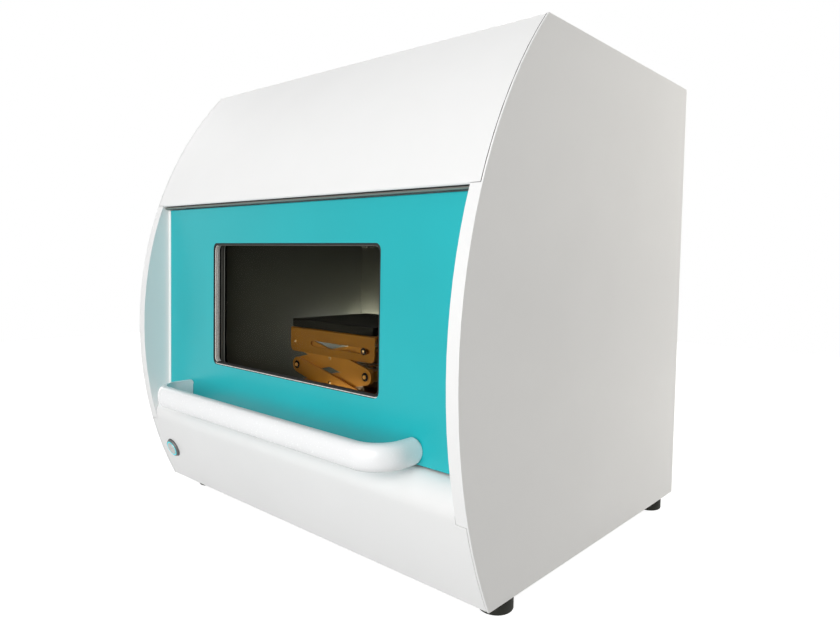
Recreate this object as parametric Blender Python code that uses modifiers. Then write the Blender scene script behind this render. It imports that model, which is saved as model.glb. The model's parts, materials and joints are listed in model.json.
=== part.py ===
"""Benchtop x-ray fluorescence spectrometer with a glazed flap door and a scissor stage.

Units are metres and +Z is up. The origin is the middle of the footprint, at floor level.
The door is on the -Y side. Heights are measured from the underside of the case and
depths from the foremost line of the curved front, unless a comment says otherwise.
"""

from math import asin, atan2, ceil, cos, pi, radians, sin, sqrt, tan

import bmesh
import bpy
from mathutils import Matrix, Vector

# Case
CASE_WIDTH = 0.580
CASE_DEPTH = 0.4913
FRONT_RADIUS = 0.514
FRONT_BULGE_HEIGHT = 0.2255
FRONT_FACET = 0.022
SIDE_SHEET = 0.002
COVER_SHEET = 0.002
INNER_SHEET = 0.002

# Clearances, overruns and overlaps
SEAT_GAP = 0.0003
SEAM_GAP = 0.0008
CUT_OVERRUN = 0.003
JOIN_OVERLAP = 0.0008
WELD = 0.00001
FILLET_STEPS = 4
ROUND_SEGMENTS = 24
PIN_SEGMENTS = 12
SLOT_END_STEPS = 6
SMOOTH_ANGLE = radians(32)
AXIS_MARK = 0.02

# Cheeks beside the door
CHEEK_WIDTH = 0.014
CHEEK_TAIL = 0.0339
CHEEK_TOP_GAP = 0.0006
CHEEK_INSET = 0.0003
JAMB_WIDTH = 0.0046
JAMB_SHEET = 0.003

# Door
DOOR_SETBACK = 0.0366
DOOR_HEIGHT = 0.2616
DOOR_FLOOR_GAP = 0.0018
DOOR_HEAD_GAP = 0.0044
DOOR_SHEET = 0.0025
DOOR_SIDE_GAP = 0.0007
DOOR_CORNER = 0.0015
WINDOW_SIDE_MARGIN = 0.114
WINDOW_SILL = 0.0556
WINDOW_HEAD = 0.0467
WINDOW_CORNER = 0.0072
REVEAL_GAP = 0.0012
REVEAL_WALL = 0.001
REVEAL_SETBACK = 0.0009
REVEAL_DEPTH = 0.0056
REVEAL_FLANGE = 0.009
REVEAL_FLANGE_SHEET = 0.0011
SHIELD_FRONT = 0.0042
SHIELD_BACK = 0.022
SHIELD_SIDE_INSET = 0.0087
SHIELD_BOTTOM_INSET = 0.0023
SHIELD_TOP_INSET = 0.0196
SHIELD_GROOVE_DEEP = 0.0016
SHIELD_GROOVE_DEPTHS = (0.0078, 0.0122)
SHIELD_GROOVE_WIDTH = 0.0014
SHIELD_SILL_DROP = 0.003
GLASS_THICKNESS = 0.0057
GLASS_LAP = 0.0115
RETAINER_LAP = 0.005
RETAINER_WIDTH = 0.016
RETAINER_SHEET = 0.0014
GASKET_INNER_MARGIN = 0.006
GASKET_WIDTH = 0.007

# Door hinge, behind the top of the door
HINGE_DEPTH = 0.0085
HINGE_DROP = 0.0088
HINGE_END_INSET = 0.0157
HINGE_KNUCKLES = 9
KNUCKLE_RADIUS = 0.0035
KNUCKLE_GAP = 0.0006
HINGE_PIN_RADIUS = 0.002
HINGE_PIN_END = 0.003
LEAF_SHEET = 0.0016
LEAF_BELOW = 0.0095
LEAF_ABOVE = 0.0062
LEAF_CLEARANCE = 0.0007
RAIL_BELOW = 0.002
RAIL_ABOVE = 0.0142
RAIL_SHEET = 0.002

# Door handle
HANDLE_REACH = 0.0605
HANDLE_RIM_REACH = 0.0495
HANDLE_SIDE_MARGIN = 0.0632
HANDLE_BEND = 0.036
HANDLE_BEND_STEPS = 8
HANDLE_RISE = 0.0139
HANDLE_HALF_HEIGHT = 0.0137
HANDLE_RIM = 0.0028
HANDLE_CHANNEL = 0.0032
HANDLE_SECTION_STEPS = 12

# Hood, top cover and the strip under the hood
HOOD_HEIGHT = 0.174
HOOD_STEP = 0.0019
HOOD_LIP_GAP = 0.0006
HOOD_LIP_RETURN = 0.0245
HOOD_LIP_INNER_CORNER = 0.0003
HOOD_TOP_RETURN = 0.035
HOOD_TOP_INNER_CORNER = 0.0012
TOP_COVER_DROP = 0.020
TOP_COVER_INNER_CORNER = 0.0012
STRIP_DEPTH = 0.0302
STRIP_WIDTH = 0.0032
STRIP_HEIGHT = 0.0031

# Lower front panel
SHOULDER_TOP = 0.1232
SHOULDER_RADIUS = 0.0255
SHOULDER_STEPS = 9
SHOULDER_RETURN = 0.0205
PANEL_NARROW_GAP = 0.0006
PANEL_STEP_GAP = 0.0005

# Base, rear panel and feet
BASE_FLANGE = 0.018
REAR_RECESS = 0.0065
FOOT_HEIGHT = 0.0211
FOOT_RADIUS = 0.018
FOOT_EDGE = 0.004
FOOT_SIDE_INSET = 0.025
FOOT_FRONT_SETBACK = 0.046
FOOT_REAR_SETBACK = 0.024

# Bulkhead and sample chamber
BULKHEAD_DEPTH = 0.026
BULKHEAD_RISE = 0.0634
CHAMBER_SIDE_ROOM = 0.088
CHAMBER_FLOOR_RISE = 0.0082
CHAMBER_CEILING_DROP = 0.0306
CHAMBER_BACK = 0.305
CHAMBER_WALL = 0.004
BEAM_PORT_RADIUS = 0.028
LAMP_HALF_LENGTH = 0.060
LAMP_WIDTH = 0.012
LAMP_HEIGHT = 0.006
LAMP_SETBACK = 0.048

# Interlock
TONGUE_SIDE_INSET = 0.0347
TONGUE_THICKNESS = 0.003
TONGUE_RISE = 0.017
TONGUE_HEIGHT = 0.009
TONGUE_REACH = 0.016
TONGUE_SIDE_GAP = 0.002
TONGUE_SWING_GAP = 0.0045
INTERLOCK_WALL = 0.005
INTERLOCK_DEPTH = 0.022

# Power button
BUTTON_SIDE_INSET = 0.0372
BUTTON_HEIGHT = 0.049
BUTTON_FLANGE_RADIUS = 0.0134
BUTTON_FLANGE = 0.0018
BUTTON_STANDOFF = 0.0004
BUTTON_BARREL_RADIUS = 0.011
BUTTON_BARREL = 0.019
BUTTON_BEZEL_WALL = 0.0013
BUTTON_RING_LENGTH = 0.005
BUTTON_RING_WALL = 0.0013
BUTTON_CAP_LENGTH = 0.010
BUTTON_CAP_PROUD = 0.0005
BUTTON_EDGE = 0.0006

# Scissor jack
JACK_SETBACK = 0.066
JACK_DEPTH = 0.133
JACK_PIVOT_SPAN = 0.130
JACK_PIVOT_RISE = 0.031
JACK_LEFT_MARGIN = 0.0117
JACK_RIGHT_MARGIN = 0.0172
JACK_FLANGE = 0.0315
JACK_FLANGE_CORNER = 0.007
JACK_SHEET = 0.0015
JACK_BEND = 0.0022
JACK_PIVOT_INSET = 0.0185
JACK_SLOT_LENGTH = 0.101
JACK_SLOT_PLAY = 0.005
JACK_SLOT_GAP = 0.0006
JACK_ARM_SHEET = 0.003
JACK_LAYER_GAP = 0.0006
JACK_ARM_END = 0.0098
JACK_ARM_END_STEPS = 8
JACK_ARM_BELLY = 0.0108
JACK_PIN_RADIUS = 0.003
JACK_PIN_HEAD_RADIUS = 0.0042
JACK_PIN_HEAD = 0.0012
JACK_RIVET_RADIUS = 0.002
JACK_RIVET_HEAD_RADIUS = 0.0027
JACK_CENTRE_PIN_RADIUS = 0.0025
JACK_BAR_PIN_RADIUS = 0.004
JACK_BAR_HALF = 0.0062
JACK_SCREW_RADIUS = 0.004
JACK_SCREW_END = 0.010
JACK_KNOB_CLEARANCE = 0.020
JACK_KNOB_LENGTH = 0.018
JACK_KNOB_RADIUS = 0.014
JACK_KNOB_LOBE = 0.0010
JACK_KNOB_LOBES = 12
JACK_PLATE = 0.0105
JACK_PLATE_INSET = 0.0038
JACK_PLATE_EDGE = 0.0006

# Measuring head above the chamber
HEAD_BASE = 0.006
HEAD_BASE_HALF_WIDTH = 0.115
HEAD_BASE_FRONT = 0.085
HEAD_BASE_BACK = 0.062
NOSE_TOP_RADIUS = 0.022
NOSE_TIP_RADIUS = 0.009
NOSE_LENGTH = 0.018
BEAM_RADIUS = 0.006
BLOCK_HALF_WIDTH = 0.030
BLOCK_FRONT = 0.018
BLOCK_BACK = 0.040
BLOCK_HEIGHT = 0.064
WHEEL_OFFSET = 0.034
WHEEL_RADIUS = 0.042
WHEEL_THICKNESS = 0.003
WHEEL_HEIGHT = 0.036
WHEEL_SLOT_GAP = 0.002
WHEEL_SLOT_DEPTH = 0.011
WHEEL_HOLE_RADIUS = 0.005
WHEEL_HOLES = 4
WHEEL_HUB_RADIUS = 0.006
WHEEL_HUB = 0.005
MOTOR_HALF = 0.0175
MOTOR_SHAFT_RADIUS = 0.0025
TUBE_RADIUS = 0.031
TUBE_TOP_CLEARANCE = 0.0144
TUBE_NECK_RADIUS = 0.022
TUBE_NECK = 0.014
DETECTOR_WIDTH = 0.048
DETECTOR_DEPTH = 0.036
DETECTOR_HEIGHT = 0.090
FIN_COUNT = 6
FIN_GAP = 0.004
FIN_DEPTH = 0.010
CAMERA_LENGTH = 0.052
CAMERA_SIZE = 0.030

# Electronics
GENERATOR_WIDTH = 0.150
GENERATOR_DEPTH = 0.190
GENERATOR_HEADROOM = 0.0149
GENERATOR_SIDE_GAP = 0.015
GENERATOR_SETBACK = 0.030
GENERATOR_SOCKET_RADIUS = 0.014
GENERATOR_SOCKET = 0.016
SUPPLY_WIDTH = 0.110
SUPPLY_DEPTH = 0.200
SUPPLY_TALL = 0.052
SUPPLY_SIDE_GAP = 0.015
SUPPLY_SETBACK = 0.030
SUPPLY_EDGE = 0.0015
BOARD_SIDE_INSET = 0.060
BOARD_WIDTH = 0.250
BOARD_BOTTOM = 0.170
BOARD_HEIGHT = 0.180
BOARD_THICKNESS = 0.0016
BOARD_STANDOFF = 0.012
BOARD_POST_RADIUS = 0.004
BOARD_POST_INSET = 0.012
BOARD_CHIP_SHARES = ((0.16, 0.24, 0.16, 0.16), (0.50, 0.20, 0.22, 0.12), (0.24, 0.66, 0.24, 0.22),
                     (0.66, 0.62, 0.16, 0.26))
BOARD_CHIP_HEIGHT = 0.012

# Fan in the rear panel
FAN_SIZE = 0.119
FAN_THICKNESS = 0.025
FAN_SIDE_INSET = 0.120
FAN_DROP = 0.125
FAN_BORE_RADIUS = 0.0565
FAN_BLADE_RADIUS = 0.054
FAN_HUB_RADIUS = 0.020
FAN_HUB_LENGTH = 0.017
FAN_HUB_GAP = 0.001
FAN_STATOR = 0.004
FAN_SHAFT_RADIUS = 0.002
FAN_STRUT = 0.005
FAN_STRUTS = 4
FAN_BLADES = 7
FAN_BLADE_CHORD = 0.020
FAN_BLADE_SHEET = 0.0016
FAN_BLADE_PITCH = radians(38)
FAN_SLOT = 0.006
FAN_SLOT_PITCH = 0.0105
FAN_SLOT_RADIUS = 0.052

# Vent slots in the rear panel
VENT_SLOT = 0.004
VENT_PITCH = 0.012
VENT_LENGTH = 0.070
VENT_COUNT = 10
VENT_SIDE_INSET = 0.060
VENT_DROP = 0.073

# Mains inlet with its rocker switch, and the data socket
INLET_SIDE_INSET = 0.065
INLET_HEIGHT = 0.075
INLET_FLANGE_WIDTH = 0.050
INLET_FLANGE_HEIGHT = 0.066
INLET_FLANGE = 0.002
INLET_BODY_WIDTH = 0.040
INLET_BODY_HEIGHT = 0.056
INLET_BODY_DEPTH = 0.032
INLET_CORNER = 0.003
INLET_WALL_GAP = 0.0006
SOCKET_WIDTH = 0.024
SOCKET_HEIGHT = 0.0165
SOCKET_DEPTH = 0.018
SOCKET_DROP = 0.012
SOCKET_CHAMFER = 0.004
BLADE_WIDTH = 0.002
BLADE_HEIGHT = 0.004
BLADE_LENGTH = 0.015
BLADE_SPREAD = 0.007
BLADE_RISE = 0.002
ROCKER_WIDTH = 0.021
ROCKER_HEIGHT = 0.0125
ROCKER_RISE = 0.0145
ROCKER_POCKET = 0.013
ROCKER_GAP = 0.0012
ROCKER_PIVOT = 0.0055
ROCKER_TILT = radians(7)
ROCKER_PROUD = 0.0016
ROCKER_PIN_RADIUS = 0.0012
DATA_SIDE_INSET = 0.065
DATA_HEIGHT = 0.075
DATA_WIDTH = 0.044
DATA_TALL = 0.022
DATA_DEPTH = 0.020
DATA_PROUD = 0.0012
DATA_SQUARE_OFFSET = 0.011
DATA_SQUARE_WIDTH = 0.0118
DATA_SQUARE_TALL = 0.0108
DATA_WIDE_OFFSET = 0.0095
DATA_WIDE_WIDTH = 0.0155
DATA_WIDE_TALL = 0.0130
DATA_SOCKET_DEPTH = 0.013

# Finishes as colour, roughness and metallic
WHITE_PAINT = ((0.86, 0.86, 0.85), 0.38, 0.0)
TEAL_PAINT = ((0.030, 0.46, 0.50), 0.36, 0.0)
SILVER = ((0.72, 0.72, 0.70), 0.28, 1.0)
ZINC_STEEL = ((0.52, 0.53, 0.54), 0.42, 1.0)
GREY_PAINT = ((0.55, 0.56, 0.55), 0.45, 0.0)
DARK_STEEL = ((0.10, 0.10, 0.10), 0.45, 1.0)
BLACK_RUBBER = ((0.018, 0.019, 0.018), 0.75, 0.0)
BLACK_PLASTIC = ((0.022, 0.022, 0.024), 0.45, 0.0)
BRONZE = ((0.42, 0.22, 0.06), 0.34, 1.0)
BLACK_ANODISED = ((0.020, 0.018, 0.014), 0.50, 0.3)
LEAD_GLASS = ((0.30, 0.28, 0.18), 0.05, 0.0)
CHAMBER_GREY = ((0.22, 0.22, 0.19), 0.55, 0.0)
LAMP_WHITE = ((0.90, 0.90, 0.86), 0.40, 0.0)
RING_CYAN = ((0.10, 0.85, 0.90), 0.30, 0.0)
COPPER_HEAT_SINK = ((0.55, 0.33, 0.22), 0.35, 1.0)
BOARD_GREEN = ((0.02, 0.16, 0.07), 0.50, 0.0)
FAN_BLACK = ((0.015, 0.015, 0.016), 0.55, 0.0)

# Places worked out from the sizes above
HANDLE_PROUD = HANDLE_REACH - DOOR_SETBACK
FRONTMOST_Y = (HANDLE_PROUD - CASE_DEPTH) / 2
HALF_WIDTH = CASE_WIDTH / 2
INNER_HALF = HALF_WIDTH - SIDE_SHEET
CHEEK_FACE = HALF_WIDTH - CHEEK_WIDTH
DOOR_HALF = CHEEK_FACE - JAMB_WIDTH - DOOR_SIDE_GAP
DOOR_BOTTOM = SHOULDER_TOP + DOOR_FLOOR_GAP
DOOR_TOP = DOOR_BOTTOM + DOOR_HEIGHT
HOOD_BOTTOM = DOOR_TOP + DOOR_HEAD_GAP
HOOD_STEP_HEIGHT = HOOD_BOTTOM + HOOD_STEP
CASE_HEIGHT = HOOD_BOTTOM + HOOD_HEIGHT
CHEEK_BOTTOM = SHOULDER_TOP - CHEEK_TAIL
CHEEK_TOP = HOOD_STEP_HEIGHT - CHEEK_TOP_GAP
HINGE_HALF = DOOR_HALF - HINGE_END_INSET
HINGE_HEIGHT = DOOR_TOP - HINGE_DROP
WINDOW_HALF = DOOR_HALF - WINDOW_SIDE_MARGIN
WINDOW_BOTTOM = DOOR_BOTTOM + WINDOW_SILL
WINDOW_TOP = DOOR_TOP - WINDOW_HEAD
SHIELD_SIDE = DOOR_HALF - SHIELD_SIDE_INSET
SHIELD_BOTTOM = DOOR_BOTTOM + SHIELD_BOTTOM_INSET
SHIELD_TOP = DOOR_TOP - SHIELD_TOP_INSET
HANDLE_LEG = DOOR_HALF - HANDLE_SIDE_MARGIN
HANDLE_HEIGHT = DOOR_BOTTOM + HANDLE_RISE
TONGUE_SIDE = DOOR_HALF - TONGUE_SIDE_INSET
TONGUE_BOTTOM = DOOR_BOTTOM + TONGUE_RISE
BULKHEAD_TOP = DOOR_TOP + BULKHEAD_RISE
CHAMBER_HALF_WIDTH = INNER_HALF - CHAMBER_SIDE_ROOM
CHAMBER_FLOOR = DOOR_BOTTOM + CHAMBER_FLOOR_RISE
CHAMBER_CEILING = DOOR_TOP - CHAMBER_CEILING_DROP
BULKHEAD_FRONT = DOOR_SETBACK + BULKHEAD_DEPTH
BULKHEAD_BACK = BULKHEAD_FRONT + INNER_SHEET
REAR_BACK = CASE_DEPTH - REAR_RECESS
REAR_FRONT = REAR_BACK - INNER_SHEET
FLOOR_TOP = INNER_SHEET + SEAT_GAP
GASKET_INNER = CHAMBER_HALF_WIDTH + GASKET_INNER_MARGIN


def at(depth):
    """World y of a depth behind the foremost line of the front."""
    return FRONTMOST_Y + depth


def up(height):
    """World z of a height above the underside of the case."""
    return FOOT_HEIGHT + height


def new_collection(name):
    made = bpy.data.collections.new(name)
    bpy.context.scene.collection.children.link(made)
    return made


def clear_scene():
    for existing in list(bpy.data.objects):
        bpy.data.objects.remove(existing, do_unlink=True)


clear_scene()
PARTS = new_collection("xrf_spectrometer")
TOOLS = new_collection("cutters_and_joins")


# Building blocks

def object_from(bm, name, location=(0, 0, 0)):
    bmesh.ops.recalc_face_normals(bm, faces=bm.faces)
    mesh = bpy.data.meshes.new(name)
    bm.to_mesh(mesh)
    bm.free()
    made = bpy.data.objects.new(name, mesh)
    made.location = location
    PARTS.objects.link(made)
    return made


def block(name, low, high):
    """A box between two corners."""
    bm = bmesh.new()
    bmesh.ops.create_cube(bm, size=1.0)
    bmesh.ops.scale(bm, vec=[top - bottom for bottom, top in zip(low, high)], verts=bm.verts)
    centre = [(bottom + top) / 2 for bottom, top in zip(low, high)]
    return object_from(bm, name, centre)


def blocks(name, corners):
    """Several boxes in one object, used as a pattern of cuts."""
    bm = bmesh.new()
    for low, high in corners:
        made = bmesh.ops.create_cube(bm, size=1.0)["verts"]
        bmesh.ops.scale(bm, vec=[top - bottom for bottom, top in zip(low, high)], verts=made)
        centre = [(bottom + top) / 2 for bottom, top in zip(low, high)]
        bmesh.ops.translate(bm, vec=centre, verts=made)
    return object_from(bm, name)


def rod(name, radius, start, end, segments=PIN_SEGMENTS, end_radius=None):
    """A round bar, or a cone, between two points."""
    start, end = Vector(start), Vector(end)
    along = end - start
    bm = bmesh.new()
    bmesh.ops.create_cone(bm, cap_ends=True, segments=segments, radius1=radius,
                          radius2=radius if end_radius is None else end_radius, depth=along.length)
    made = object_from(bm, name, (start + end) / 2)
    made.rotation_euler = along.to_track_quat("Z", "Y").to_euler()
    return smooth(made)


def turned(name, profile, location, along=(0, 0, 1), steps=ROUND_SEGMENTS, closed=False):
    """A turned piece: (radius, height) points run down the outer side, top to bottom."""
    bm = bmesh.new()
    points = [bm.verts.new((radius, 0, height)) for radius, height in profile]
    pairs = list(zip(points, points[1:]))
    if closed:
        pairs.append((points[-1], points[0]))
    for first, second in pairs:
        bm.edges.new((first, second))
    mesh = bpy.data.meshes.new(name)
    bm.to_mesh(mesh)
    bm.free()
    made = bpy.data.objects.new(name, mesh)
    PARTS.objects.link(made)
    made.location = location
    made.rotation_euler = Vector(along).to_track_quat("Z", "Y").to_euler()
    screw = made.modifiers.new("turn", "SCREW")
    screw.steps = steps
    screw.render_steps = steps
    screw.use_merge_vertices = True
    screw.merge_threshold = WELD
    screw.use_smooth_shade = True
    return made


PLANES = {
    "XY": Matrix.Identity(4),
    "XZ": Matrix.Rotation(pi / 2, 4, "X"),
    "YZ": Matrix(((0, 0, 1, 0), (1, 0, 0, 0), (0, 1, 0, 0), (0, 0, 0, 1))),
}


def outline_mesh(name, loops, thickness, plane):
    """The closed mesh of a filled flat outline, with holes where loops lie inside others."""
    curve = bpy.data.curves.new(name, "CURVE")
    curve.dimensions = "2D"
    curve.fill_mode = "BOTH"
    curve.extrude = thickness / 2
    for loop in loops:
        spline = curve.splines.new("POLY")
        spline.points.add(len(loop) - 1)
        for point, (across, along) in zip(spline.points, loop):
            point.co = (across, along, 0, 1)
        spline.use_cyclic_u = True
    flat = bpy.data.objects.new(name, curve)
    PARTS.objects.link(flat)
    evaluated = flat.evaluated_get(bpy.context.evaluated_depsgraph_get())
    mesh = bpy.data.meshes.new_from_object(evaluated)
    bpy.data.objects.remove(flat, do_unlink=True)
    bpy.data.curves.remove(curve)
    bm = bmesh.new()
    bm.from_mesh(mesh)
    bpy.data.meshes.remove(mesh)
    bmesh.ops.remove_doubles(bm, verts=bm.verts, dist=WELD)
    bmesh.ops.transform(bm, matrix=PLANES[plane], verts=bm.verts)
    return bm


def plate(name, loops, low, high, plane="XZ"):
    """A flat outline with thickness between two places along the plane's normal."""
    middle = (low + high) / 2
    normal = {"XY": (0, 0, 1), "XZ": (0, 1, 0), "YZ": (1, 0, 0)}[plane]
    bm = outline_mesh(name, loops, high - low, plane)
    return smooth(object_from(bm, name, Vector(normal) * middle))


def bent_sheet(name, profile, half_width, sheet, facing):
    """A sheet bent along x: an open (y, z) profile with its thickness behind it."""
    bm = bmesh.new()
    points = [bm.verts.new((-half_width, y, z)) for y, z in profile]
    edges = [bm.edges.new(pair) for pair in zip(points, points[1:])]
    grown = bmesh.ops.extrude_edge_only(bm, edges=edges)["geom"]
    moved = [item for item in grown if isinstance(item, bmesh.types.BMVert)]
    bmesh.ops.translate(bm, vec=(2 * half_width, 0, 0), verts=moved)
    bmesh.ops.recalc_face_normals(bm, faces=bm.faces)
    middle_face = list(bm.faces)[len(bm.faces) // 2]
    if middle_face.normal.dot(Vector(facing)) < 0:
        bmesh.ops.reverse_faces(bm, faces=bm.faces)
    mesh = bpy.data.meshes.new(name)
    bm.to_mesh(mesh)
    bm.free()
    made = bpy.data.objects.new(name, mesh)
    PARTS.objects.link(made)
    thick = made.modifiers.new("thickness", "SOLIDIFY")
    thick.thickness = sheet
    thick.offset = -1
    thick.use_even_offset = True
    return smooth(made)


def smooth(made):
    made.data.shade_smooth()
    made.data.set_sharp_from_angle(angle=SMOOTH_ANGLE)
    return made


def bevelled(made, width, segments=2):
    bevel = made.modifiers.new("rounded_edges", "BEVEL")
    bevel.width = width
    bevel.segments = segments
    bevel.limit_method = "ANGLE"
    bevel.angle_limit = SMOOTH_ANGLE
    return made


def frame_of(item):
    return Matrix.LocRotScale(item.location, item.rotation_euler, None)


def combine(target, tool, operation):
    modifier = target.modifiers.new(operation.lower(), "BOOLEAN")
    modifier.operation = operation
    modifier.solver = "EXACT"
    modifier.object = tool
    PARTS.objects.unlink(tool)
    TOOLS.objects.link(tool)
    tool.hide_render = True
    tool.display_type = "WIRE"
    tool.parent = target
    tool.matrix_parent_inverse = frame_of(target).inverted()
    return target


def cut(target, tool):
    return combine(target, tool, "DIFFERENCE")


def join(target, tool):
    return combine(target, tool, "UNION")


def keep_inside(target, tool):
    return combine(target, tool, "INTERSECT")


def finish(made, look):
    colour, roughness, metallic = look
    material = bpy.data.materials.new(made.name + "_finish")
    material.use_nodes = True
    shader = material.node_tree.nodes["Principled BSDF"]
    shader.inputs["Base Color"].default_value = (*colour, 1)
    shader.inputs["Roughness"].default_value = roughness
    shader.inputs["Metallic"].default_value = metallic
    material.diffuse_color = (*colour, 1)
    made.data.materials.clear()
    made.data.materials.append(material)
    return made


def joint_axis(name, place, parent=None):
    """An empty on a joint's axis, which carries the pieces that move about it."""
    empty = bpy.data.objects.new(name, None)
    empty.empty_display_size = AXIS_MARK
    empty.location = place
    PARTS.objects.link(empty)
    if parent:
        carry(parent, empty)
    return empty


def world_place(item):
    place = item.matrix_basis.copy()
    while item.parent:
        place = item.parent.matrix_basis @ item.matrix_parent_inverse @ place
        item = item.parent
    return place


def carry(carrier, *pieces):
    for piece in pieces:
        piece.parent = carrier
        piece.matrix_parent_inverse = world_place(carrier).inverted()


# Outlines

def front_arc(low, high, inset=0):
    """Points (y, z) up the curved front between two heights, on the same centre."""
    radius = FRONT_RADIUS - inset
    count = max(2, ceil((high - low) / FRONT_FACET))
    start = asin((low - FRONT_BULGE_HEIGHT) / radius)
    end = asin((high - FRONT_BULGE_HEIGHT) / radius)
    angles = [start + (end - start) * step / count for step in range(count + 1)]
    return [(at(FRONT_RADIUS) - radius * cos(angle), up(FRONT_BULGE_HEIGHT + radius * sin(angle)))
            for angle in angles]


def filleted(points, radii, closed=True):
    """An outline whose corners are rounded by the radii given, zero for a sharp one."""
    rounded = []
    count = len(points)
    for index, (point, radius) in enumerate(zip(points, radii)):
        ends = not closed and index in (0, count - 1)
        if ends or not radius:
            rounded.append(tuple(point))
            continue
        corner = Vector(point)
        back = (Vector(points[index - 1]) - corner).normalized()
        ahead = (Vector(points[(index + 1) % count]) - corner).normalized()
        half = back.angle(ahead) / 2
        centre = corner + (back + ahead).normalized() * radius / sin(half)
        start = corner + back * radius / tan(half) - centre
        end = corner + ahead * radius / tan(half) - centre
        first = atan2(start.y, start.x)
        turn = (atan2(end.y, end.x) - first + pi) % (2 * pi) - pi
        for step in range(FILLET_STEPS + 1):
            angle = first + turn * step / FILLET_STEPS
            rounded.append((centre.x + radius * cos(angle), centre.y + radius * sin(angle)))
    return rounded


def rectangle(left, right, bottom, top, radius=0):
    corners = [(left, bottom), (right, bottom), (right, top), (left, top)]
    return filleted(corners, [radius] * len(corners))


def circle(across, along, radius, segments=ROUND_SEGMENTS):
    turns = [2 * pi * step / segments for step in range(segments)]
    return [(across + radius * cos(turn), along + radius * sin(turn)) for turn in turns]


def stadium(left, right, middle, radius):
    """A slot outline with round ends, its end centres at left and right."""
    turns = [pi * step / SLOT_END_STEPS for step in range(SLOT_END_STEPS + 1)]
    far = [(right + radius * sin(turn), middle - radius * cos(turn)) for turn in turns]
    near = [(left - radius * sin(turn), middle + radius * cos(turn)) for turn in turns]
    return far + near


# Case

def side_panel(name, side):
    """A flat sheet with the curved front edge, and the thick cheek beside the door."""
    edge = front_arc(0, CASE_HEIGHT) + [(at(CASE_DEPTH), up(CASE_HEIGHT)), (at(CASE_DEPTH), up(0))]
    sheet = sorted((side * INNER_HALF, side * HALF_WIDTH))
    panel = plate(name, [edge], *sheet, plane="YZ")
    back = at(BULKHEAD_FRONT - SEAT_GAP)
    cheek = front_arc(CHEEK_BOTTOM, CHEEK_TOP, CHEEK_INSET)
    cheek += [(back, up(CHEEK_TOP)), (back, up(CHEEK_BOTTOM))]
    span = sorted((side * CHEEK_FACE, side * (INNER_HALF + JOIN_OVERLAP)))
    join(panel, plate(name + "_cheek", [cheek], *span, plane="YZ"))
    inner, outer = sorted((side * (CHEEK_FACE - JAMB_WIDTH), side * (CHEEK_FACE + JOIN_OVERLAP)))
    front = at(DOOR_SETBACK)
    jamb = block(name + "_jamb", (inner, front, up(DOOR_BOTTOM)),
                 (outer, front + JAMB_SHEET, up(DOOR_TOP)))
    return finish(join(panel, jamb), WHITE_PAINT)


def hood_cover():
    """The curved upper cover, with a lip over the door and a return on the top."""
    arc = front_arc(HOOD_BOTTOM, CASE_HEIGHT)
    lip_end = (arc[0][0] + HOOD_LIP_RETURN, up(HOOD_BOTTOM))
    top_end = (arc[-1][0] + HOOD_TOP_RETURN, up(CASE_HEIGHT))
    points = [lip_end] + arc + [top_end]
    lip_corner = COVER_SHEET + HOOD_LIP_INNER_CORNER
    top_corner = COVER_SHEET + HOOD_TOP_INNER_CORNER
    radii = [0, lip_corner] + [0] * (len(arc) - 2) + [top_corner, 0]
    half = INNER_HALF - SEAM_GAP
    hood = bent_sheet("hood_cover", filleted(points, radii, closed=False), half, COVER_SHEET, (0, -1, 0))
    lip_half = CHEEK_FACE - HOOD_LIP_GAP
    for side in (-1, 1):
        inner, outer = sorted((side * lip_half, side * (half + CUT_OVERRUN)))
        low = (inner, at(0), up(HOOD_BOTTOM - CUT_OVERRUN))
        high = (outer, lip_end[0] + CUT_OVERRUN, up(HOOD_STEP_HEIGHT))
        cut(hood, block("hood_step", low, high))
    return finish(hood, WHITE_PAINT)


def top_cover():
    """The flat cover behind the hood, turned down at the rear."""
    start = front_arc(HOOD_BOTTOM, CASE_HEIGHT)[-1][0] + HOOD_TOP_RETURN + SEAM_GAP
    top = up(CASE_HEIGHT)
    rear = at(REAR_BACK)
    points = [(start, top), (rear, top), (rear, top - TOP_COVER_DROP)]
    corner = COVER_SHEET + TOP_COVER_INNER_CORNER
    profile = filleted(points, (0, corner, 0), closed=False)
    cover = bent_sheet("top_cover", profile, INNER_HALF - SEAM_GAP, COVER_SHEET, (0, 1, 1))
    return finish(cover, WHITE_PAINT)


def shoulder_centre():
    height = SHOULDER_TOP - SHOULDER_RADIUS
    reach = sqrt((FRONT_RADIUS - SHOULDER_RADIUS) ** 2 - (height - FRONT_BULGE_HEIGHT) ** 2)
    return FRONT_RADIUS - reach, height


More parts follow.
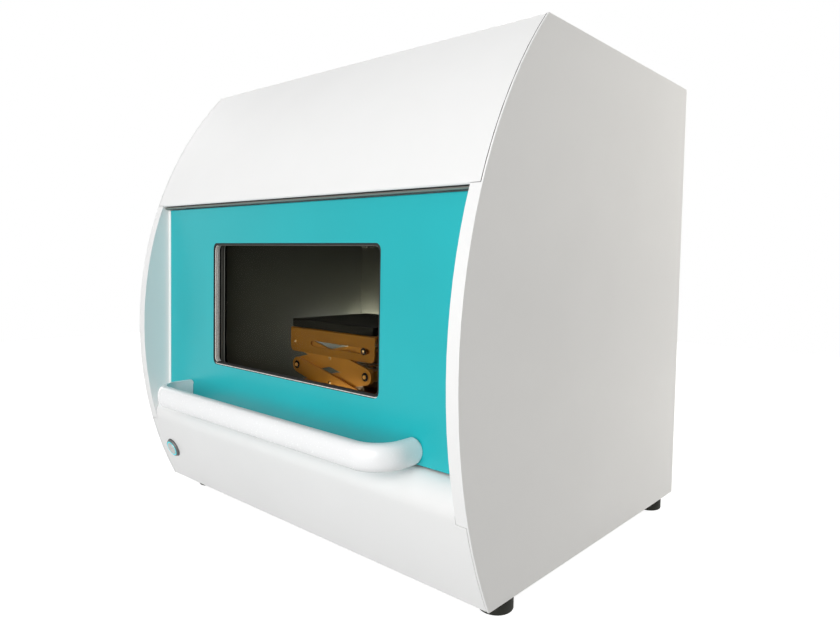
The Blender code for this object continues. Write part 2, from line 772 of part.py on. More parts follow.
def lower_front_panel():
    """The curved lower panel, rolled back over a rounded shoulder under the door."""
    depth, height = shoulder_centre()
    meets = atan2(height - FRONT_BULGE_HEIGHT, depth - FRONT_RADIUS) % (2 * pi)
    touch = FRONT_BULGE_HEIGHT + FRONT_RADIUS * sin(meets)
    profile = front_arc(0, touch)[:-1]
    for step in range(SHOULDER_STEPS + 1):
        angle = meets + (pi / 2 - meets) * step / SHOULDER_STEPS
        profile.append((at(depth + SHOULDER_RADIUS * cos(angle)), up(height + SHOULDER_RADIUS * sin(angle))))
    profile.append((at(DOOR_SETBACK + SHOULDER_RETURN), up(SHOULDER_TOP)))
    half = INNER_HALF - SEAM_GAP
    panel = bent_sheet("lower_front_panel", profile, half, COVER_SHEET, (0, -1, 0))
    narrow = CHEEK_FACE - PANEL_NARROW_GAP
    for side in (-1, 1):
        inner, outer = sorted((side * narrow, side * (half + CUT_OVERRUN)))
        low = (inner, at(0) - CUT_OVERRUN, up(CHEEK_BOTTOM - PANEL_STEP_GAP))
        high = (outer, at(BULKHEAD_FRONT), up(SHOULDER_TOP + CUT_OVERRUN))
        cut(panel, block("panel_step", low, high))
    place, outward = button_place()
    hole = rod("button_hole", BUTTON_BARREL_RADIUS + SEAT_GAP, place - outward * BUTTON_BARREL,
               place + outward * BUTTON_BARREL, ROUND_SEGMENTS)
    return finish(cut(panel, hole), WHITE_PAINT)


def base_chassis():
    """The floor sheet, with upturned sides."""
    half = INNER_HALF - SEAT_GAP
    front = front_arc(0, CASE_HEIGHT)[0][0] + COVER_SHEET + SEAT_GAP
    rear = at(REAR_FRONT) - SEAT_GAP
    side_profile = [(-half, up(BASE_FLANGE)), (-half, up(0)), (half, up(0)), (half, up(BASE_FLANGE))]
    inside = [(half - INNER_SHEET, up(BASE_FLANGE)), (half - INNER_SHEET, up(INNER_SHEET)),
              (INNER_SHEET - half, up(INNER_SHEET)), (INNER_SHEET - half, up(BASE_FLANGE))]
    return finish(plate("base_chassis", [side_profile + inside], front, rear), GREY_PAINT)


def rear_panel():
    """The rear sheet, with fan slots, vent slots and the cut-outs for the sockets."""
    half = INNER_HALF - SEAT_GAP
    top = up(CASE_HEIGHT - TOP_COVER_DROP) - SEAT_GAP
    outline = rectangle(-half, half, up(0), top)
    panel = plate("rear_panel", [outline], at(REAR_FRONT), at(REAR_BACK))
    near, far = at(REAR_FRONT) - CUT_OVERRUN, at(REAR_BACK) + CUT_OVERRUN
    cut(panel, blocks("fan_slots", fan_slots(near, far)))
    cut(panel, blocks("vent_slots", vent_slots(near, far)))
    gap = INLET_WALL_GAP
    for across, height, wide, tall in (
            (HALF_WIDTH - INLET_SIDE_INSET, INLET_HEIGHT, INLET_BODY_WIDTH, INLET_BODY_HEIGHT),
            (DATA_SIDE_INSET - HALF_WIDTH, DATA_HEIGHT, DATA_WIDTH, DATA_TALL)):
        low = (across - wide / 2 - gap, near, up(height) - tall / 2 - gap)
        high = (across + wide / 2 + gap, far, up(height) + tall / 2 + gap)
        cut(panel, block("socket_cut", low, high))
    return finish(panel, GREY_PAINT)


def fan_place():
    """The fan's centre, across and up."""
    return HALF_WIDTH - FAN_SIDE_INSET, up(CASE_HEIGHT - FAN_DROP)


def fan_slots(near, far):
    """Upright slots that fill a circle in front of the fan."""
    x, z = fan_place()
    count = int(FAN_SLOT_RADIUS / FAN_SLOT_PITCH)
    slots = []
    for index in range(-count, count + 1):
        middle = x + index * FAN_SLOT_PITCH
        reach = sqrt(FAN_SLOT_RADIUS ** 2 - (index * FAN_SLOT_PITCH) ** 2)
        low = (middle - FAN_SLOT / 2, near, z - reach)
        high = (middle + FAN_SLOT / 2, far, z + reach)
        slots.append((low, high))
    return slots


def vent_slots(near, far):
    """Two columns of level vent slots."""
    slots = []
    for column in (0, 1):
        left = VENT_SIDE_INSET - HALF_WIDTH + column * (VENT_LENGTH + VENT_PITCH)
        for row in range(VENT_COUNT):
            top = up(CASE_HEIGHT - VENT_DROP) - row * VENT_PITCH
            slots.append(((left, near, top - VENT_SLOT), (left + VENT_LENGTH, far, top)))
    return slots


def foot(name, side, depth):
    """A round foot with a rounded lower edge."""
    top = FOOT_HEIGHT - SEAT_GAP
    profile = [(0, top), (FOOT_RADIUS, top)]
    for step in range(FILLET_STEPS + 1):
        angle = pi / 2 * step / FILLET_STEPS
        profile.append((FOOT_RADIUS - FOOT_EDGE + FOOT_EDGE * cos(angle), FOOT_EDGE - FOOT_EDGE * sin(angle)))
    profile.append((0, 0))
    across = side * (HALF_WIDTH - FOOT_SIDE_INSET)
    return finish(turned(name, profile, (across, at(depth), 0)), BLACK_RUBBER)


def feet():
    bottom_corner = front_arc(0, CASE_HEIGHT)[0][0] - at(0)
    rows = (("front", bottom_corner + FOOT_FRONT_SETBACK), ("rear", CASE_DEPTH - FOOT_REAR_SETBACK))
    for row, depth in rows:
        for word, side in (("left", -1), ("right", 1)):
            foot("foot_" + row + "_" + word, side, depth)


# Bulkhead and sample chamber

def front_bulkhead():
    """The upright sheet that frames the chamber mouth and carries the hinge."""
    half = INNER_HALF - SEAT_GAP - INNER_SHEET - SEAT_GAP
    outline = rectangle(-half, half, up(FLOOR_TOP), up(BULKHEAD_TOP))
    mouth = rectangle(-CHAMBER_HALF_WIDTH, CHAMBER_HALF_WIDTH, up(CHAMBER_FLOOR), up(CHAMBER_CEILING))
    tongue = tongue_room(TONGUE_SIDE_GAP)
    sheet = plate("front_bulkhead", [outline, mouth, tongue], at(BULKHEAD_FRONT), at(BULKHEAD_BACK))
    return finish(sheet, ZINC_STEEL)


def tongue_room(gap):
    """The slot that the interlock tongue leaves by, taller below for its swing."""
    left = -TONGUE_SIDE - TONGUE_THICKNESS / 2 - gap
    right = -TONGUE_SIDE + TONGUE_THICKNESS / 2 + gap
    bottom = up(TONGUE_BOTTOM - TONGUE_SWING_GAP)
    return rectangle(left, right, bottom, up(TONGUE_BOTTOM + TONGUE_HEIGHT) + gap)


def chamber_back():
    return DOOR_SETBACK + CHAMBER_BACK


def sample_chamber():
    """A lined box, open at the front, that stands on the base on its side walls."""
    outer = CHAMBER_HALF_WIDTH + CHAMBER_WALL
    front, back = at(BULKHEAD_BACK) + SEAT_GAP, at(chamber_back())
    chamber = block("sample_chamber", (-outer, front, up(FLOOR_TOP)),
                    (outer, back + CHAMBER_WALL, up(CHAMBER_CEILING + CHAMBER_WALL)))
    half = CHAMBER_HALF_WIDTH
    cut(chamber, block("chamber_room", (-half, front - CUT_OVERRUN, up(CHAMBER_FLOOR)),
                       (half, back, up(CHAMBER_CEILING))))
    cut(chamber, block("room_below", (-half, front - CUT_OVERRUN, up(FLOOR_TOP) - CUT_OVERRUN),
                       (half, back + CHAMBER_WALL + CUT_OVERRUN, up(CHAMBER_FLOOR - CHAMBER_WALL))))
    beam = beam_place()
    port = rod("beam_port", BEAM_PORT_RADIUS, beam + Vector((0, 0, up(CHAMBER_CEILING) - CUT_OVERRUN)),
               beam + Vector((0, 0, up(CHAMBER_CEILING + CHAMBER_WALL) + CUT_OVERRUN)), ROUND_SEGMENTS)
    return finish(cut(chamber, port), CHAMBER_GREY)


def chamber_lamp():
    front = at(BULKHEAD_BACK + LAMP_SETBACK)
    top = up(CHAMBER_CEILING) - SEAT_GAP
    lamp = block("chamber_lamp", (-LAMP_HALF_LENGTH, front, top - LAMP_HEIGHT),
                 (LAMP_HALF_LENGTH, front + LAMP_WIDTH, top))
    return finish(lamp, LAMP_WHITE)


def interlock_switch():
    """The switch box behind the bulkhead, with a pocket for the tongue."""
    wall = INTERLOCK_WALL
    pocket = tongue_room(TONGUE_SIDE_GAP)
    left = min(point[0] for point in pocket)
    right = max(point[0] for point in pocket)
    bottom = min(point[1] for point in pocket)
    top = max(point[1] for point in pocket)
    front = at(BULKHEAD_BACK) + SEAT_GAP
    box = block("interlock_switch", (left - wall, front, bottom - wall),
                (right + wall, front + INTERLOCK_DEPTH, top + wall))
    room = block("tongue_pocket", (left, front - CUT_OVERRUN, bottom),
                 (right, front + INTERLOCK_DEPTH - wall, top))
    return finish(cut(box, room), BLACK_PLASTIC)


# Door

def door_axis():
    return Vector((0, at(DOOR_SETBACK + HINGE_DEPTH), up(HINGE_HEIGHT)))


def window_loop(grow, sill_drop=0):
    """The window outline, grown on all sides, and dropped a little more at sill and head."""
    half = WINDOW_HALF + grow
    corner = max(WINDOW_CORNER + grow, SEAT_GAP)
    bottom, top = up(WINDOW_BOTTOM - sill_drop) - grow, up(WINDOW_TOP + sill_drop) + grow
    return rectangle(-half, half, bottom, top, corner)


def door_panel():
    """The painted face sheet of the door, with the window cut out."""
    outline = rectangle(-DOOR_HALF, DOOR_HALF, up(DOOR_BOTTOM), up(DOOR_TOP), DOOR_CORNER)
    front = at(DOOR_SETBACK)
    return finish(plate("door_panel", [outline, window_loop(0)], front, front + DOOR_SHEET), TEAL_PAINT)


def window_frame():
    """The bright lining of the window, flanged behind the face sheet."""
    front = at(DOOR_SETBACK + REVEAL_SETBACK)
    outer, inner = window_loop(-REVEAL_GAP), window_loop(-REVEAL_GAP - REVEAL_WALL)
    frame = plate("window_frame", [outer, inner], front, at(DOOR_SETBACK + REVEAL_DEPTH))
    flange_front = at(DOOR_SETBACK) + DOOR_SHEET + SEAT_GAP
    seat = window_loop(-REVEAL_GAP - REVEAL_WALL / 2)
    flange = plate("window_frame_flange", [window_loop(REVEAL_FLANGE), seat],
                   flange_front, flange_front + REVEAL_FLANGE_SHEET)
    return finish(join(frame, flange), SILVER)


def door_shield():
    """The lined inner half of the door, grooved beside the window and rebated for the glass."""
    outline = rectangle(-SHIELD_SIDE, SHIELD_SIDE, up(SHIELD_BOTTOM), up(SHIELD_TOP))
    front, back = at(DOOR_SETBACK + SHIELD_FRONT), at(DOOR_SETBACK + SHIELD_BACK)
    shield = plate("door_shield", [outline, window_loop(0, SHIELD_SILL_DROP)], front, back)
    lining = plate("lining_room", [window_loop(REVEAL_FLANGE + SEAT_GAP)], front - CUT_OVERRUN,
                   at(DOOR_SETBACK + REVEAL_DEPTH) + SEAT_GAP)
    cut(shield, lining)
    cut(shield, blocks("side_grooves", side_grooves()))
    rebate = plate("glass_rebate", [window_loop(GLASS_LAP + SEAT_GAP)], glass_front() - SEAT_GAP,
                   back + CUT_OVERRUN)
    return finish(cut(shield, rebate), DARK_STEEL)


def side_grooves():
    """Two upright grooves down each side of the window."""
    low, high = up(WINDOW_BOTTOM) + WINDOW_CORNER, up(WINDOW_TOP) - WINDOW_CORNER
    grooves = []
    for depth in SHIELD_GROOVE_DEPTHS:
        near = at(DOOR_SETBACK + depth)
        for side in (-1, 1):
            ends = (side * (WINDOW_HALF - CUT_OVERRUN), side * (WINDOW_HALF + SHIELD_GROOVE_DEEP))
            left, right = sorted(ends)
            grooves.append(((left, near, low), (right, near + SHIELD_GROOVE_WIDTH, high)))
    return grooves


def glass_front():
    return at(DOOR_SETBACK + SHIELD_BACK) - GLASS_THICKNESS


def window_glass():
    """The thick shielding glass, which lies in the rebate from behind."""
    glass = plate("window_glass", [window_loop(GLASS_LAP)], glass_front(), glass_front() + GLASS_THICKNESS)
    return finish(glass, LEAD_GLASS)


def glass_retainer():
    """The frame that holds the glass in its rebate."""
    front = at(DOOR_SETBACK + SHIELD_BACK) + SEAT_GAP
    loops = [window_loop(RETAINER_WIDTH), window_loop(RETAINER_LAP)]
    return finish(plate("glass_retainer", loops, front, front + RETAINER_SHEET), DARK_STEEL)


def door_gasket():
    """The soft seal on the bulkhead, round the chamber mouth."""
    inner = rectangle(-GASKET_INNER, GASKET_INNER, up(SHIELD_BOTTOM) + GASKET_WIDTH / 2,
                      up(CHAMBER_CEILING) + GASKET_INNER_MARGIN / 2)
    width = GASKET_WIDTH
    outer = rectangle(-GASKET_INNER - width, GASKET_INNER + width, up(SHIELD_BOTTOM),
                      up(CHAMBER_CEILING) + GASKET_INNER_MARGIN / 2 + GASKET_WIDTH)
    front = at(DOOR_SETBACK + SHIELD_BACK) + SEAT_GAP
    return finish(plate("door_gasket", [outer, inner], front, at(BULKHEAD_FRONT) - SEAT_GAP), BLACK_RUBBER)


def interlock_tongue():
    front = at(DOOR_SETBACK + SHIELD_BACK) + SEAT_GAP
    side = -TONGUE_SIDE
    tongue = block("interlock_tongue", (side - TONGUE_THICKNESS / 2, front, up(TONGUE_BOTTOM)),
                   (side + TONGUE_THICKNESS / 2, front + TONGUE_REACH, up(TONGUE_BOTTOM + TONGUE_HEIGHT)))
    return finish(tongue, ZINC_STEEL)


def knuckle_spans(moving):
    """The stretches of x that the fixed or the moving knuckles of the hinge take."""
    pitch = 2 * HINGE_HALF / HINGE_KNUCKLES
    spans = []
    for index in range(HINGE_KNUCKLES):
        if bool(index % 2) == moving:
            left = -HINGE_HALF + index * pitch
            spans.append((left + KNUCKLE_GAP / 2, left + pitch - KNUCKLE_GAP / 2))
    return spans


def add_knuckles(leaf, moving, root):
    """Join a leaf to its knuckles and bore them for the pin."""
    axis = door_axis()
    near, far = sorted((axis.y, root))
    for left, right in knuckle_spans(moving):
        join(leaf, rod("knuckle", KNUCKLE_RADIUS, (left, axis.y, axis.z), (right, axis.y, axis.z)))
        join(leaf, block("knuckle_root", (left, near, axis.z - LEAF_SHEET / 2),
                         (right, far, axis.z + LEAF_SHEET / 2)))
    reach = HINGE_HALF + CUT_OVERRUN
    bore = rod("hinge_bore", HINGE_PIN_RADIUS + SEAT_GAP, (-reach, axis.y, axis.z), (reach, axis.y, axis.z))
    return cut(leaf, bore)


def door_hinge_leaf():
    """The door's half of the long hinge, behind the face sheet."""
    axis = door_axis()
    front = at(DOOR_SETBACK) + DOOR_SHEET + SEAT_GAP
    half = HINGE_HALF
    leaf = block("door_hinge_leaf", (-half, front, axis.z - LEAF_BELOW),
                 (half, front + LEAF_SHEET, axis.z + LEAF_ABOVE))
    return finish(add_knuckles(leaf, True, front + LEAF_SHEET / 2), ZINC_STEEL)


def hinge_rail():
    """The fixed half of the hinge, an angle on the bulkhead."""
    axis = door_axis()
    back = at(BULKHEAD_FRONT) - SEAT_GAP
    half = HINGE_HALF
    rail = block("hinge_rail", (-half, back - RAIL_SHEET, axis.z - RAIL_BELOW),
                 (half, back, axis.z + RAIL_ABOVE))
    shelf_front = axis.y + KNUCKLE_RADIUS + LEAF_CLEARANCE
    shelf = block("rail_shelf", (-half, shelf_front, axis.z - LEAF_SHEET / 2),
                  (half, back - RAIL_SHEET / 2, axis.z + LEAF_SHEET / 2))
    join(rail, shelf)
    return finish(add_knuckles(rail, False, shelf_front + LEAF_CLEARANCE), ZINC_STEEL)


def hinge_pin():
    axis = door_axis()
    half = HINGE_HALF + HINGE_PIN_END
    return finish(rod("hinge_pin", HINGE_PIN_RADIUS, (-half, axis.y, axis.z), (half, axis.y, axis.z)), SILVER)


def lip_strip():
    """The bright strip under the lip of the hood."""
    top = up(HOOD_BOTTOM) - SEAT_GAP
    half = CHEEK_FACE - HOOD_LIP_GAP
    strip = block("lip_strip", (-half, at(STRIP_DEPTH), top - STRIP_HEIGHT),
                  (half, at(STRIP_DEPTH + STRIP_WIDTH), top))
    return finish(strip, SILVER)


def handle_section():
    """The handle's section (outward, up): a domed front with a shallow channel behind."""
    reach = HANDLE_REACH - HANDLE_RIM_REACH
    steps = HANDLE_SECTION_STEPS
    dome = []
    for step in range(steps + 1):
        angle = pi / 2 - pi * step / steps
        dome.append((reach * cos(angle), HANDLE_HALF_HEIGHT * sin(angle)))
    edge = HANDLE_HALF_HEIGHT - HANDLE_RIM
    floor = edge - HANDLE_CHANNEL / 2
    return dome + [(0, -edge), (HANDLE_CHANNEL, -floor), (HANDLE_CHANNEL, floor), (0, edge)]


def handle_path():
    """The line of the handle's rim in plan: two legs, two bends and the bar."""
    legs_y = at(DOOR_SETBACK) - SEAT_GAP
    bar_y = at(DOOR_SETBACK) - HANDLE_RIM_REACH
    path = [(-HANDLE_LEG, legs_y)]
    for side in (-1, 1):
        centre_x = side * (HANDLE_LEG - HANDLE_BEND)
        centre_y = bar_y + HANDLE_BEND
        for step in range(HANDLE_BEND_STEPS + 1):
            share = step / HANDLE_BEND_STEPS
            angle = pi / 2 * (share if side < 0 else 1 - share)
            path.append((centre_x + side * HANDLE_BEND * cos(angle), centre_y - HANDLE_BEND * sin(angle)))
    path.append((HANDLE_LEG, legs_y))
    return path


def poly_curve(name, points, closed, dimensions):
    curve = bpy.data.curves.new(name, "CURVE")
    curve.dimensions = dimensions
    spline = curve.splines.new("POLY")
    spline.points.add(len(points) - 1)
    for point, (across, along) in zip(spline.points, points):
        point.co = (across, along, 0, 1)
    spline.use_cyclic_u = closed
    made = bpy.data.objects.new(name, curve)
    PARTS.objects.link(made)
    return made


def door_handle():
    """A wide bar handle: its section follows the path, with capped ends on the door."""
    section = poly_curve("handle_section", handle_section(), True, "2D")
    path = poly_curve("door_handle", handle_path(), False, "3D")
    path.data.bevel_mode = "OBJECT"
    path.data.bevel_object = section
    path.data.use_fill_caps = True
    path.data.twist_mode = "Z_UP"
    evaluated = path.evaluated_get(bpy.context.evaluated_depsgraph_get())
    mesh = bpy.data.meshes.new_from_object(evaluated)
    for helper in (path, section):
        bpy.data.objects.remove(helper, do_unlink=True)
    bm = bmesh.new()
    bm.from_mesh(mesh)
    bpy.data.meshes.remove(mesh)
    bmesh.ops.remove_doubles(bm, verts=bm.verts, dist=WELD)
    handle = smooth(object_from(bm, "door_handle", (0, 0, up(HANDLE_HEIGHT))))
    return finish(handle, WHITE_PAINT)


def door():
    """The door and all that swings with it, on the hinge axis."""
    hinge = joint_axis("door_axis", door_axis())
    pieces = (door_panel(), window_frame(), door_shield(), window_glass(), glass_retainer(),
              door_hinge_leaf(), door_handle(), interlock_tongue())
    carry(hinge, *pieces)


# Power button

def button_place():
    """The button's centre on the panel, and the direction out of the panel there."""
    lean = asin((BUTTON_HEIGHT - FRONT_BULGE_HEIGHT) / FRONT_RADIUS)
    across = BUTTON_SIDE_INSET - HALF_WIDTH
    place = Vector((across, at(FRONT_RADIUS * (1 - cos(lean))), up(BUTTON_HEIGHT)))
    return place, Vector((0, -cos(lean), sin(lean)))


def ring_profile(inner, outer, bottom, top):
    return [(outer, top), (outer, bottom), (inner, bottom), (inner, top)]


def power_button():
    """A flanged metal bezel, a lit ring and a sprung cap, all turned about one line."""
    place, outward = button_place()
    face = BUTTON_STANDOFF + BUTTON_FLANGE
    bore = BUTTON_BARREL_RADIUS - BUTTON_BEZEL_WALL
    profile = [(BUTTON_FLANGE_RADIUS - BUTTON_EDGE, face), (BUTTON_FLANGE_RADIUS, face - BUTTON_EDGE),
               (BUTTON_FLANGE_RADIUS, BUTTON_STANDOFF), (BUTTON_BARREL_RADIUS, BUTTON_STANDOFF),
               (BUTTON_BARREL_RADIUS, -BUTTON_BARREL), (bore, -BUTTON_BARREL), (bore, face)]
    finish(turned("button_bezel", profile, place, outward, closed=True), SILVER)
    ring_outer = bore - SEAT_GAP
    ring_inner = ring_outer - BUTTON_RING_WALL
    ring = ring_profile(ring_inner, ring_outer, face - BUTTON_RING_LENGTH, face - BUTTON_EDGE / 2)
    finish(turned("button_ring", ring, place, outward, closed=True), RING_CYAN)
    cap_radius = ring_inner - SEAT_GAP
    cap_top = face + BUTTON_CAP_PROUD
    cap = [(0, cap_top), (cap_radius - BUTTON_EDGE, cap_top), (cap_radius, cap_top - BUTTON_EDGE),
           (cap_radius, cap_top - BUTTON_CAP_LENGTH), (0, cap_top - BUTTON_CAP_LENGTH)]
    finish(turned("button_cap", cap, place, outward), SILVER)


# Scissor jack

JACK_LEFT = -JACK_PIVOT_SPAN / 2
JACK_RIGHT = JACK_PIVOT_SPAN / 2
JACK_BASE = CHAMBER_FLOOR + SEAT_GAP
JACK_LOW = JACK_BASE + JACK_PIVOT_INSET
JACK_MID = JACK_LOW + JACK_PIVOT_RISE
JACK_HIGH = JACK_MID + JACK_PIVOT_RISE
JACK_TRAY_TOP = JACK_HIGH + JACK_PIVOT_INSET
JACK_FRONT = DOOR_SETBACK + JACK_SETBACK
JACK_MIDDLE = JACK_FRONT + JACK_DEPTH / 2


def beam_place():
    """The upright line of the beam, over the middle of the jack."""
    return Vector(((JACK_LEFT + JACK_RIGHT) / 2, at(JACK_MIDDLE), 0))


def layer(number):
    """Distance from the jack's front face to the near side of an arm layer."""
    return JACK_SHEET + JACK_LAYER_GAP + (number - 1) * (JACK_ARM_SHEET + JACK_LAYER_GAP)


def jack_tray(name, floor_height, open_upwards):
    """A channel with two flanges, each with a rivet hole at the left and a slot at the right."""
    way = 1 if open_upwards else -1
    front, back = at(JACK_FRONT), at(JACK_FRONT + JACK_DEPTH)
    rim = up(floor_height) + way * JACK_FLANGE
    corners = [(front, rim), (front, up(floor_height)), (back, up(floor_height)), (back, rim)]
    profile = filleted(corners, (0, JACK_BEND, JACK_BEND, 0), closed=False)
    left, right = JACK_LEFT - JACK_LEFT_MARGIN, JACK_RIGHT + JACK_RIGHT_MARGIN
    tray = bent_sheet(name, profile, (right - left) / 2, JACK_SHEET, (0, 0, -way))
    tray.location.x = (left + right) / 2
    bottom, top = sorted((up(floor_height) - way * CUT_OVERRUN, rim))
    radii = (0, 0, JACK_FLANGE_CORNER, JACK_FLANGE_CORNER) if open_upwards else \
        (JACK_FLANGE_CORNER, JACK_FLANGE_CORNER, 0, 0)
    side = filleted([(left, bottom), (right, bottom), (right, top), (left, top)], radii)
    keep_inside(tray, plate(name + "_corners", [side], front - CUT_OVERRUN, back + CUT_OVERRUN))
    pivot = up(floor_height) + way * JACK_PIVOT_INSET
    near, far = front - CUT_OVERRUN, back + CUT_OVERRUN
    hole_radius = JACK_RIVET_RADIUS + SEAT_GAP
    cut(tray, rod(name + "_hole", hole_radius, (JACK_LEFT, near, pivot), (JACK_LEFT, far, pivot)))
    slot_right = JACK_RIGHT + JACK_SLOT_PLAY
    slot = stadium(slot_right - JACK_SLOT_LENGTH, slot_right, pivot, JACK_PIN_RADIUS + JACK_SLOT_GAP)
    cut(tray, plate(name + "_slot", [slot], near, far))
    return finish(tray, BRONZE)


def arm_outline(start, end):
    """A broad arm (x, z) between two pivots, round at its ends and fuller at its middle."""
    start, end = Vector(start), Vector(end)
    along = (end - start).normalized()
    across = Vector((-along.y, along.x))
    length = (end - start).length
    steps = JACK_ARM_END_STEPS
    points = []
    for centre, way in ((end, 1), (start, -1)):
        for step in range(steps + 1):
            turn = pi * step / steps
            points.append(centre + (along * sin(turn) - across * cos(turn)) * JACK_ARM_END * way)
        points.append(start + along * length / 2 + across * JACK_ARM_BELLY * way)
    return [tuple(point) for point in points]


def arm_pair(name, start, end, number, pin, holes):
    """Two like arms in one layer at front and back, tied by the headed pin through their first ends."""
    radius, head_radius = pin
    near = layer(number)
    loops = [arm_outline(start, end)]
    loops += [circle(x, z, hole, PIN_SEGMENTS) for (x, z), hole in holes]
    front = at(JACK_FRONT) + near
    back = at(JACK_FRONT + JACK_DEPTH) - near
    pair = plate(name, loops, front, front + JACK_ARM_SHEET)
    join(pair, plate(name + "_rear", loops, back - JACK_ARM_SHEET, back))
    x, z = start
    outside = JACK_LAYER_GAP / 2
    head = JACK_PIN_HEAD
    reach_front, reach_back = at(JACK_FRONT) - outside, at(JACK_FRONT + JACK_DEPTH) + outside
    first, last = reach_front - head / 2, reach_back + head / 2
    join(pair, rod(name + "_pin", radius, (x, first, z), (x, last, z)))
    for first, second in ((reach_front - head, reach_front), (reach_back, reach_back + head)):
        join(pair, rod(name + "_head", head_radius, (x, first, z), (x, second, z)))
    return pair


def centre_pins(pair, place, number):
    """Short pins on an inner arm that stand in the holes of the outer arm it crosses."""
    x, z = place
    inner = layer(number) + JACK_ARM_SHEET / 2
    outer = layer(number - 1)
    for face, way in ((at(JACK_FRONT), 1), (at(JACK_FRONT + JACK_DEPTH), -1)):
        first, last = face + way * outer, face + way * inner
        join(pair, rod("centre_pin", JACK_CENTRE_PIN_RADIUS, (x, first, z), (x, last, z)))
    return pair


def jack_places():
    low, mid, high = up(JACK_LOW), up(JACK_MID), up(JACK_HIGH)
    return {
        "low_left": (JACK_LEFT, low), "low_right": (JACK_RIGHT, low),
        "mid_left": (JACK_LEFT, mid), "mid_right": (JACK_RIGHT, mid),
        "high_left": (JACK_LEFT, high), "high_right": (JACK_RIGHT, high),
        "low_centre": ((JACK_LEFT + JACK_RIGHT) / 2, (low + mid) / 2),
        "high_centre": ((JACK_LEFT + JACK_RIGHT) / 2, (mid + high) / 2),
    }


def jack_arms():
    """Four pairs of arms: two that cross between base and middle, two between middle and top."""
    spot = jack_places()
    bar_hole = JACK_BAR_PIN_RADIUS + SEAT_GAP
    centre_hole = JACK_CENTRE_PIN_RADIUS + SEAT_GAP
    rivet = (JACK_RIVET_RADIUS, JACK_RIVET_HEAD_RADIUS)
    slider = (JACK_PIN_RADIUS, JACK_PIN_HEAD_RADIUS)
    lower_a = arm_pair("jack_arm_lower_a", spot["low_left"], spot["mid_right"], 2, rivet,
                       [(spot["mid_right"], bar_hole)])
    centre_pins(lower_a, spot["low_centre"], 2)
    lower_b = arm_pair("jack_arm_lower_b", spot["low_right"], spot["mid_left"], 1, slider,
                       [(spot["mid_left"], bar_hole), (spot["low_centre"], centre_hole)])
    upper_a = arm_pair("jack_arm_upper_a", spot["high_left"], spot["mid_right"], 1, rivet,
                       [(spot["mid_right"], bar_hole), (spot["high_centre"], centre_hole)])
    upper_b = arm_pair("jack_arm_upper_b", spot["high_right"], spot["mid_left"], 2, slider,
                       [(spot["mid_left"], bar_hole)])
    centre_pins(upper_b, spot["high_centre"], 2)
    arms = (lower_a, lower_b, upper_a, upper_b)
    for arm in arms:
        finish(arm, BRONZE)
    return arms


def jack_bar(name, x, bore):
    """The square bar across the jack at a middle pivot, bored for the screw."""
    z = up(JACK_MID)
    half = JACK_BAR_HALF
    inside = layer(3)
    front, back = at(JACK_FRONT) + inside, at(JACK_FRONT + JACK_DEPTH) - inside
    bar = block(name, (x - half, front, z - half), (x + half, back, z + half))
    reach = layer(1) - JACK_LAYER_GAP
    near, far = at(JACK_FRONT) + reach, at(JACK_FRONT + JACK_DEPTH) - reach
    join(bar, rod(name + "_pins", JACK_BAR_PIN_RADIUS, (x, near, z), (x, far, z)))
    middle = at(JACK_MIDDLE)
    hole = rod(name + "_bore", bore, (x - half - CUT_OVERRUN, middle, z), (x + half + CUT_OVERRUN, middle, z))
    return finish(cut(bar, hole), BRONZE)


def jack_spindle():
    """The screw that pulls the two middle bars together."""
    z, middle = up(JACK_MID), at(JACK_MIDDLE)
    left = JACK_LEFT - JACK_BAR_HALF - JACK_SCREW_END
    right = JACK_RIGHT + JACK_KNOB_CLEARANCE
    return finish(rod("jack_spindle", JACK_SCREW_RADIUS, (left, middle, z), (right, middle, z)), SILVER)


def jack_knob():
    """The fluted knob on the end of the screw."""
    start = JACK_RIGHT + JACK_KNOB_CLEARANCE + SEAT_GAP
    outline = []
    count = JACK_KNOB_LOBES * 4
    for step in range(count):
        turn = 2 * pi * step / count
        radius = JACK_KNOB_RADIUS + JACK_KNOB_LOBE * cos(JACK_KNOB_LOBES * turn)
        outline.append((at(JACK_MIDDLE) + radius * cos(turn), up(JACK_MID) + radius * sin(turn)))
    knob = plate("jack_knob", [outline], start, start + JACK_KNOB_LENGTH, plane="YZ")
    return finish(knob, BLACK_PLASTIC)


def jack_stage_plate():
    """The thick plate on the top tray that carries the sample."""
    left, right = JACK_LEFT - JACK_LEFT_MARGIN, JACK_RIGHT + JACK_RIGHT_MARGIN
    bottom = up(JACK_TRAY_TOP) + SEAT_GAP
    inset = JACK_PLATE_INSET
    slab = block("jack_stage_plate", (left + inset, at(JACK_FRONT), bottom),
                 (right - inset, at(JACK_FRONT + JACK_DEPTH), bottom + JACK_PLATE))
    return finish(bevelled(slab, JACK_PLATE_EDGE, 1), BLACK_ANODISED)


